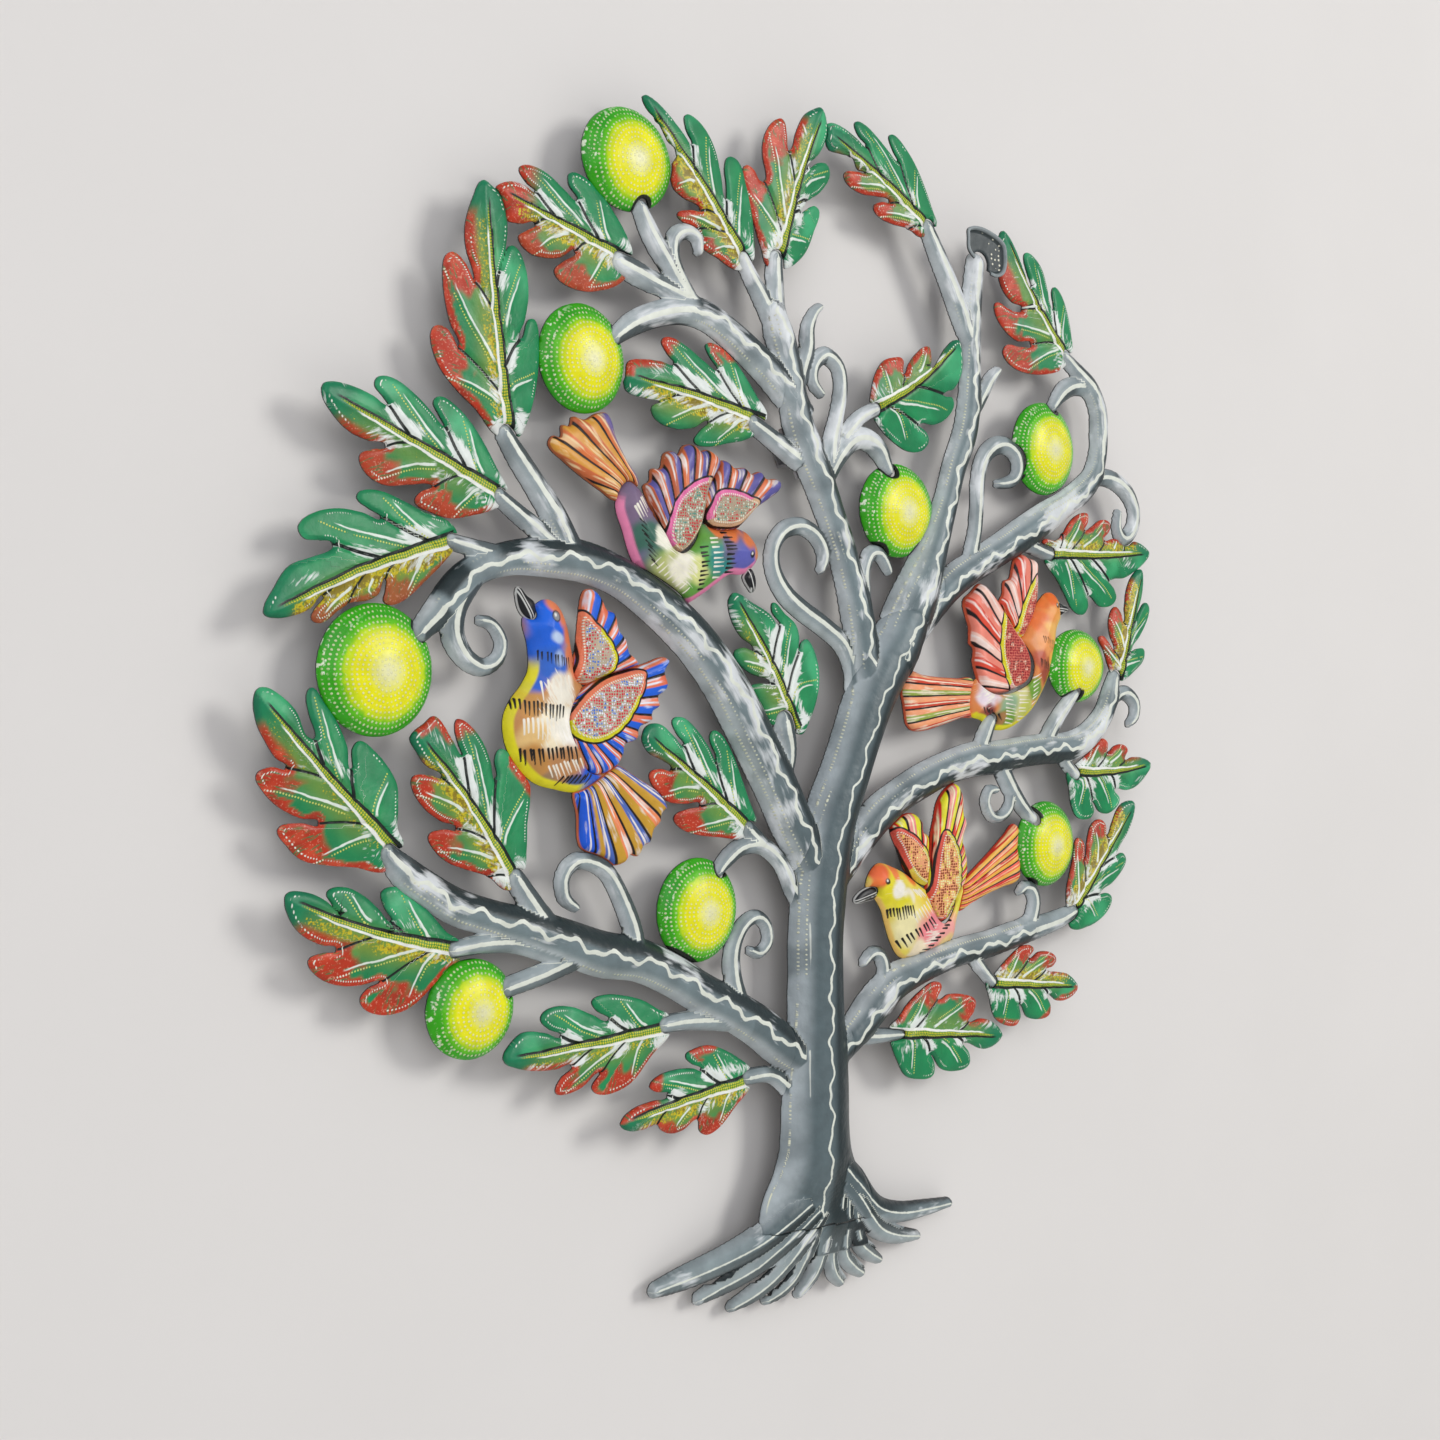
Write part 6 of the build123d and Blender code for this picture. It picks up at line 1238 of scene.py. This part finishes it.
def lobe_lines(ring, base, tip):
    """Vein lines to the lobe tips, and groove lines from the notches, on both sides of the midrib."""
    base, tip = np.array(base, float), np.array(tip, float)
    axis = unit(tip - base)
    normal = np.array([-axis[1], axis[0]])
    s, v = (ring - base) @ axis, (ring - base) @ normal
    start, end, count = int(np.argmin(np.hypot(s, v))), int(np.argmax(s)), len(ring)
    notches = notches_of(ring)
    veins, grooves = [], []
    for step in (1, -1):
        path = [(start + step * i) % count for i in range((step * (end - start)) % count + 1)]
        side = 1.0 if np.mean(v[path]) > 0 else -1.0
        stops = [k for k, i in enumerate(path) if i in notches and 0.1 * s[end] < s[i] < 0.93 * s[end]]
        slants = []
        for a, b in zip([0] + stops[:-1], stops):
            pa, pb = ring[path[a]], ring[path[b]]
            chord = unit(pb - pa)
            away = np.abs((ring[path[a:b + 1]] - pa) @ np.array([-chord[1], chord[0]]))
            peak = path[a + int(np.argmax(away))]
            mid_s, mid_v = (s[path[a]] + s[path[b]]) / 2, abs(v[path[a]] + v[path[b]]) / 2
            slant = float(np.clip((s[peak] - mid_s) / max(abs(v[peak]) - mid_v, 3.0), 0.4, 1.6))
            root = base + axis * max(mid_s - slant * mid_v - 1.0, 4.0) + normal * side * 2.0
            middle = base + axis * (mid_s + 1.0) + normal * side * mid_v
            veins.append([(*root, 1.0), (*middle, 1.0), (*ring[peak], 1.0)])
            slants.append(slant)
        for k, stop in enumerate(stops):
            p = ring[path[stop]]
            slant = np.mean(slants[k:k + 2])
            root = base + axis * max(s[path[stop]] - slant * abs(v[path[stop]]), 3.0) + normal * side
            grooves.append([(*p, 1.0), (*((p + root) / 2 + axis * 1.2), 1.0), (*root, 1.0)])
    return veins, grooves


def nearest_line(lines, X, Z):
    """Signed distance to the nearest of some lines, the run along it and the share of it passed."""
    gap, run, passed = np.full(X.shape, 60.0), np.zeros(X.shape), np.ones(X.shape)
    for points in lines:
        offset, along, _, _ = line_field(smooth_line(points), X, Z)
        better = np.abs(offset) < np.abs(gap)
        gap, run = np.where(better, offset, gap), np.where(better, along, run)
        passed = np.where(better, along / along.max(), passed)
    return gap, run, passed


def leaf_reds(name, seed, rng, rusty, across, share, vein, passed, inner, own, X, Z):
    """Where a leaf is painted red: the lower lobes and their edge, sometimes a few tips."""
    side, lower = np.abs(across), ramp(-0.5, 0.5, across)
    edges = lower * ramp(2.9, 1.9, -own + 0.8 * blotch(X, Z, 9, seed)) * ramp(3, 7, side)
    lobes = ramp(0.62, 0.76, passed + 0.1 * blotch(X, Z, 7, seed + 3)) * lower * ramp(5, 9, side)
    red = np.maximum(lobes, edges * ramp(0.97, 0.9, share))
    spared = ramp(1.6, 0.9, np.abs(vein - 2.2)) * ramp(2.0, 3.0, inner) * ramp(0.92, 0.8, passed)
    red *= 1 - 0.95 * spared * (seed % 2)
    red *= ramp(0.0, 0.15, rusty) * ramp(0.93, 0.85, share)
    tips = ramp(4.5, 3.0, inner) * ramp(0.86, 0.94, passed) * (1 - lower) * (rng.uniform() < 0.15)
    red = np.maximum(red, tips)
    return np.maximum(red, ramp(0.72, 0.86, share)) if name in RED_TIPPED else red


def build_leaf(name, seed, paint, taken):
    """A lobed leaf folded along its midrib, with chased grooves and painted veins."""
    base, tip, points = LEAVES[name]
    rng = np.random.default_rng(seed + 100)
    chalky, golden, rusty = rng.uniform(0, 1, 3)
    if name in PALE_LEAVES:
        chalky, rusty = 1.5, 0.0
    ring, X, Z, own, D = cut_out(points, GRID, taken)
    middle = 0.3 * (np.array(base) + tip) + 0.4 * ring.mean(0)
    across, along, _, _ = line_field(smooth_line([(*base, 1.0), (*middle, 1.0), (*tip, 1.0)]), X, Z)
    side, share = np.abs(across), along / along.max()
    veins, grooves = lobe_lines(ring, base, tip)
    vein, run, passed = nearest_line(veins, X, Z)
    gap, _, _ = nearest_line(grooves, X, Z)
    inner = np.maximum(-D, 0)
    lower = ramp(-0.5, 0.5, across)

    band = midrib_band(share)
    fold = LEAF_RIDGE - LEAF_SLOPE * side - EDGE_LEVEL
    height = EDGE_LEVEL + fold * (1 - 0.3 * np.exp(-inner / 0.9)) - LEAF_GROOVE * hump(gap, 1.0)
    height -= MIDRIB_CUT * hump(across + band, 0.9) * ramp(1.0, 0.8, share)
    height += LEAF_BEAD * (hump(across - band - 0.5, 0.8) + hump(vein, 1.0) * ramp(0.9, 0.6, passed))

    patches = blotch(X, Z, 26, seed)
    fresh = (1 - lower) * ramp(0.4, 0.9, passed) * ramp(0.1, 0.7, blotch(X, Z, 40, seed + 40))
    olive = hump(across - 5.5, 6.5) * ramp(0.05, 0.3, share) * ramp(0.95, 0.7, share)
    red = leaf_reds(name, seed, rng, rusty, across, share, vein, passed, inner, own, X, Z)
    tint = wash(X.shape, "#128450")
    for weight, code in (
            (0.6 * ramp(-0.2, 0.8, patches), "#1c9658"), (ramp(0.6, 1.0, share) * 0.6, "#0d7454"),
            (fresh, "#3dac74"), (olive * (0.4 + 0.5 * golden), "#8c9a2c"),
            (0.5 * ramp(2.4, 0.8, -own) * ramp(-0.4, 0.6, patches), "#0a5c46"), (red, "#ba3519"),
            (red * ramp(0.1, 0.9, blotch(X, Z, 12, seed + 9)) * 0.5, "#8c2c1a"),
            (red * ramp(0.3, 0.9, blotch(X, Z, 14, seed + 19)) * 0.5, "#dc5a3a")):
        tint = brush(tint, weight, code)
    scuff = (0.16 + 0.4 * chalky) * hump(gap, 3.8) * (1 - 0.6 * lower) + 0.34 * np.exp(-along / 12)
    scuff += (0.08 + 0.2 * chalky) * hump(side - 6, 4) + 0.2 * blotch(X, Z, 22, seed + 70)
    gold = (0.35 + 0.3 * golden) * hump(across - 4.5, 5.5) * ramp(0.97, 0.85, share)
    gold += 0.3 * golden * hump(np.abs(vein) - 3, 2) * ramp(0.8, 0.3, passed)
    fields = {
        "across": across, "along": along, "share": share, "vein": vein, "vein_run": run, "passed": passed,
        "gap": gap, "edge": -own, "lower": lower, "scuff": scuff, "gold": gold, "red": red,
    }
    sheet(name + "_steel", name, paint, X, Z, D, height, fields, tint)
    claim(taken, X, Z, own)


# ---- Fruits, stub

def build_fruit(name, paint, taken, wood):
    """A domed oval fruit, painted dark where it meets a stem: black strokes round the stem and painted shade
    at the joint.
    """
    x, z, rx, rz = FRUITS[name]
    turn = np.arange(8) * math.tau / 8
    oval = np.stack([x + rx * np.cos(turn), z + rz * np.sin(turn)], 1)
    _, X, Z, own, D = cut_out(oval, GRID, taken)
    size = (rx + rz) / 2
    share = np.clip(1 + own / size, 0, 1)
    height = EDGE_LEVEL + (FRUIT_TOP - EDGE_LEVEL) * (1 - share ** 2.2) ** 0.85
    near = sample(wood, X, Z)
    tint = brush(wash(X.shape, "#35a80e"), 0.5 * ramp(0, 1, blotch(X, Z, 22, int(abs(x)))), "#1c9424")
    fields = {
        "dx": X - x, "dz": Z - z, "size": np.full(X.shape, size), "lit": ramp(0.1, 0.9, (x - X) / size),
        # painted dark at the stem: black strokes there and painted shade where the fruit meets the wood
        "stem_shade_and_ink": ramp(2.8, 0.8, near) * ramp(0.5, 0.7, np.abs(Z - z) / size),
    }
    sheet(name + "_steel", name, paint, X, Z, D, height, fields, tint)
    claim(taken, X, Z, own)


def build_stub(paint, taken):
    """The sawn end of the upright limb: a dished face inside a lip."""
    ring, X, Z, own, D = cut_out(STUB, FINE_GRID, taken)
    inner = np.maximum(-own, 0)
    height = STUB_LIP - STUB_DISH * ramp(1.0, 3.0, inner) + (X - ring.mean(0)[0]) * 0.06
    tint = wash(X.shape, "#3c4547")
    sheet("stub_cap_steel", "stub_cap", paint, X, Z, D, height, {"edge": inner}, tint)
    claim(taken, X, Z, own)


# ---- Birds

def fan_field(name, ring, X, Z):
    """Feather number counted across a fan, and the reach from where its feathers meet."""
    (px, pz), count = FANS[name]
    far = np.hypot(ring[:, 0] - px, ring[:, 1] - pz)
    outer = ring[far > 0.6 * far.max()]
    middle = np.angle(np.mean(np.exp(1j * np.arctan2(outer[:, 1] - pz, outer[:, 0] - px))))

    def swing(x, z):
        return np.angle(np.exp(1j * (np.arctan2(z - pz, x - px) - middle)))

    spread = swing(outer[:, 0], outer[:, 1])
    fan = (swing(X, Z) - spread.min()) / (spread.max() - spread.min()) * count
    return fan, np.hypot(X - px, Z - pz)


def build_feathers(name, node, paint, points, level, taken):
    """A wing or tail: a fan of ridged feathers, with a raised shoulder patch on a wing."""
    ring, X, Z, own, D = cut_out(points, FINE_GRID, taken)
    fan, reach = fan_field(name, ring, X, Z)
    patch, run, hem = np.full(X.shape, 50.0), np.zeros(X.shape), np.zeros(X.shape)
    if name in PATCHES:
        shape = outline(PATCHES[name])
        patch, middle = inside_distance(shape, X, Z), shape.mean(0)
        run = measured(X, Z, middle, long_axis(shape))
        hem = ramp(-0.5, 0.5, measured(X, Z, middle, HEM_SIDES[name]))
    plain = ramp(*PLAIN_FEATHERS[name], fan) if name in PLAIN_FEATHERS else np.zeros(X.shape)
    inner = np.maximum(-D, 0)
    part = fan - np.floor(fan)
    ridge = FEATHER_RISE * np.sqrt(np.clip(1 - (2 * part - 1) ** 2, 0, 1))
    raised = ramp(0.4, -2.4, patch)
    high = level + ridge * (1 - raised) + PATCH_RISE * raised
    height = EDGE_LEVEL + (high - EDGE_LEVEL) * (1 - np.exp(-inner / 1.6))
    fields = {
        "fan": fan, "reach": reach, "patch": patch, "edge": inner, "hem": hem, "hem_run": run, "plain": plain,
    }
    sheet(name + "_steel", node, paint, X, Z, D, height, fields, wash(X.shape, "#8a7a70"))
    claim(taken, X, Z, own)


def strokes(rows, X, Z):
    """Distance to rows of uneven brush strokes: (first, last, how many, stroke, half width)."""
    nearest, rng = np.full(X.shape, 20.0), np.random.default_rng(11)
    for (ax, az), (bx, bz), count, (sx, sz), half in rows:
        for t in np.linspace(0, 1, count + 2):
            reach, slip = rng.uniform(0.65, 1.15), rng.uniform(-0.4, 0.4, 2)
            x, z = ax + (bx - ax) * t + slip[0], az + (bz - az) * t + slip[1]
            u = measured(X, Z, (x, z), (sx, sz)) / (sx * sx + sz * sz)
            u = np.clip(u / reach, 0, 1) * reach
            away = np.hypot(X - x - u * sx, Z - z - u * sz) - half * (0.8 - 0.45 * u)
            nearest = np.minimum(nearest, away)
    return nearest


def build_body(bird, paint, taken):
    """A bird's body and head: a crowned shell with dabs of colour, a painted hem and an eye."""
    cut, look = BIRDS[bird], PLUMAGE[bird]
    _, X, Z, own, D = cut_out(cut["body"], FINE_GRID, taken)
    inner = np.maximum(-own, 0)
    height = EDGE_LEVEL + BODY_RISE * (1 - np.exp(-inner / 6.0)) + BREAST_RISE * ramp(8, 18, inner)
    height -= 1.2 * np.exp(-np.maximum(-D, 0) / 1.2) * (D > own + 0.5)

    tint = wash(X.shape, look["base"])
    for x, z, radius, code in look["dabs"]:
        away = np.hypot(X - x, Z - z) + 1.5 * blotch(X, Z, 9, int(abs(x * 3 + z)))
        tint = brush(tint, ramp(radius * 1.15, radius * 0.55, away), code)
    hem_code, hem_width, (nx, nz), hem_top = look["hem"]
    slope_z, slope_x = np.gradient(own, FINE_GRID)
    hem = ramp(hem_width + 0.5, hem_width - 0.5, inner) * ramp(0.0, 0.45, slope_x * nx + slope_z * nz)
    tint = brush(tint, hem * ramp(hem_top + 4, hem_top - 4, Z), hem_code)
    for x, z, radius, code in look["eye"]:
        tint = brush(tint, ramp(radius + 0.25, radius - 0.25, np.hypot(X - x, Z - z)), code)

    head, tail = np.array(cut["beak"]).mean(0), np.array(cut["tail"]).mean(0)
    axis = unit(tail - head)
    fields = {
        "along": measured(X, Z, head, axis), "across": measured(X, Z, head, (-axis[1], axis[0])),
        "ink": strokes(look["ink"], X, Z), "chalk": strokes(look["chalk"], X, Z),
        "glow": sum(hump(np.hypot(X - x, Z - z), radius) for x, z, radius in look["glow"]),
    }
    sheet(bird + "_body_steel", bird + "_body", paint, X, Z, D, height, fields, tint)
    claim(taken, X, Z, own)


def build_beak(bird, paint, taken):
    """A small crowned beak with a seam along its middle."""
    ring, X, Z, own, D = cut_out(BIRDS[bird]["beak"], FINE_GRID, taken)
    axis = long_axis(ring)
    inner = np.maximum(-own, 0)
    height = EDGE_LEVEL + BEAK_RISE * (1 - np.exp(-inner / 1.5))
    fields = {"edge": inner, "across": measured(X, Z, ring.mean(0), (-axis[1], axis[0]))}
    tint = wash(X.shape, "#14161a")
    sheet(bird + "_beak_steel", bird + "_body", paint, X, Z, D, height, fields, tint)
    claim(taken, X, Z, own)


def build_bird(bird, beak, taken):
    """Near wing, far wing, beak, body and tail, in the order they hide each other."""
    look, cut = PLUMAGE[bird], BIRDS[bird]
    wing = feather_paint(bird + "_wing_paint", look["wing"], look)
    tail = feather_paint(bird + "_tail_paint", look["tail"], look)
    for part, level in WING_LEVELS.items():
        name = bird + "_" + part
        build_feathers(name, name, wing, cut[part], level, taken)
    build_beak(bird, beak, taken)
    build_body(bird, plumage_paint(bird + "_body_paint"), taken)
    build_feathers(bird + "_tail", bird + "_body", tail, cut["tail"], TAIL_LEVEL, taken)


# ---- The whole disc

wood = build_wood()
taken = wood.copy()
build_stub(stub_paint(), taken)
fruit, beak, leaf = fruit_paint(), beak_paint(), leaf_paint()
for name in FRUITS:
    build_fruit(name, fruit, taken, wood)
for bird in BIRDS:
    build_bird(bird, beak, taken)
for seed, name in enumerate(LEAVES):
    build_leaf(name, seed, leaf, taken)
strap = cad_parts["hanger_strap"].data
strap.materials.clear()
strap.materials.append(steel_paint())


# ---- Wall, floor, light and camera

def slab(name, centre, size, turn, code):
    """A plain flat backdrop with a faint plaster texture."""
    mesh = bpy.data.meshes.new(name)
    corners = [(size / 2 * x, size / 2 * y, 0) for x, y in ((-1, -1), (1, -1), (1, 1), (-1, 1))]
    mesh.from_pydata(corners, [], [(0, 1, 2, 3)])
    made = bpy.data.objects.new(name, mesh)
    made.location, made.rotation_euler = centre, turn
    bpy.context.scene.collection.objects.link(made)
    p = Paint(name + "_paint")
    tone = p.over((*linear(code), 1.0), p.noise(180.0, 3.0).above(0.5, 0.6) * 0.25, "#d6d4d0")
    p.feed(p.shader.inputs["Base Color"], tone)
    p.shader.inputs["Roughness"].default_value = 0.9
    mesh.materials.append(p.material)


def lamp(name, turn, lift, distance, size, power, colour):
    """A square soft light that looks at the disc from turn degrees right and lift degrees up."""
    data = bpy.data.lights.new(name, "AREA")
    data.size, data.energy, data.color = size, power, colour
    made = bpy.data.objects.new(name, data)
    turn, lift = math.radians(turn), math.radians(lift)
    away = Vector((math.sin(turn) * math.cos(lift), -math.cos(turn) * math.cos(lift), math.sin(lift)))
    made.location = CENTRE + away * distance
    made.rotation_euler = away.to_track_quat("Z", "Y").to_euler()
    bpy.context.scene.collection.objects.link(made)


CENTRE = Vector((-HANGER_AT[0] * MM, -STANDOFF * MM, -HANGER_AT[1] * MM))
WALL_GAP = 0.0005      # keeps the wall from showing through the strap's flat back
slab("wall", (CENTRE.x, WALL_GAP, CENTRE.z), 8.0, (math.radians(90), 0, 0), "#e4e2df")
slab("floor", (CENTRE.x, -4.0, CENTRE.z - 1.5), 8.0, (0, 0, 0), "#dcdad6")
lamp("key", turn=31, lift=18, distance=4.0, size=1.5, power=63, colour=(1.0, 0.985, 0.95))
lamp("fill", turn=-35, lift=22, distance=4.0, size=3.6, power=56, colour=(0.97, 0.98, 1.0))
sky = bpy.data.worlds.new("studio")
sky.use_nodes = True
background = sky.node_tree.nodes["Background"]
background.inputs["Color"].default_value = (0.94, 0.93, 1.0, 1.0)
background.inputs["Strength"].default_value = 0.41
bpy.context.scene.world = sky
bpy.context.scene.view_settings.view_transform = "Standard"

VIEW_TURN = math.radians(42)      # the disc is seen from its left
VIEW_DISTANCE, VIEW_ASIDE, VIEW_RAISE = 0.983, -0.039, -0.013
data = bpy.data.cameras.new("camera")
data.lens, data.sensor_width = 50.0, 36.0
camera = bpy.data.objects.new("camera", data)
ahead = Vector((math.sin(VIEW_TURN), math.cos(VIEW_TURN), 0))
aside = Vector((math.cos(VIEW_TURN), -math.sin(VIEW_TURN), 0))
camera.location = CENTRE - ahead * VIEW_DISTANCE + aside * VIEW_ASIDE + Vector((0, 0, VIEW_RAISE))
camera.rotation_euler = (math.radians(90), 0, -VIEW_TURN)
bpy.context.scene.collection.objects.link(camera)
bpy.context.scene.camera = camera
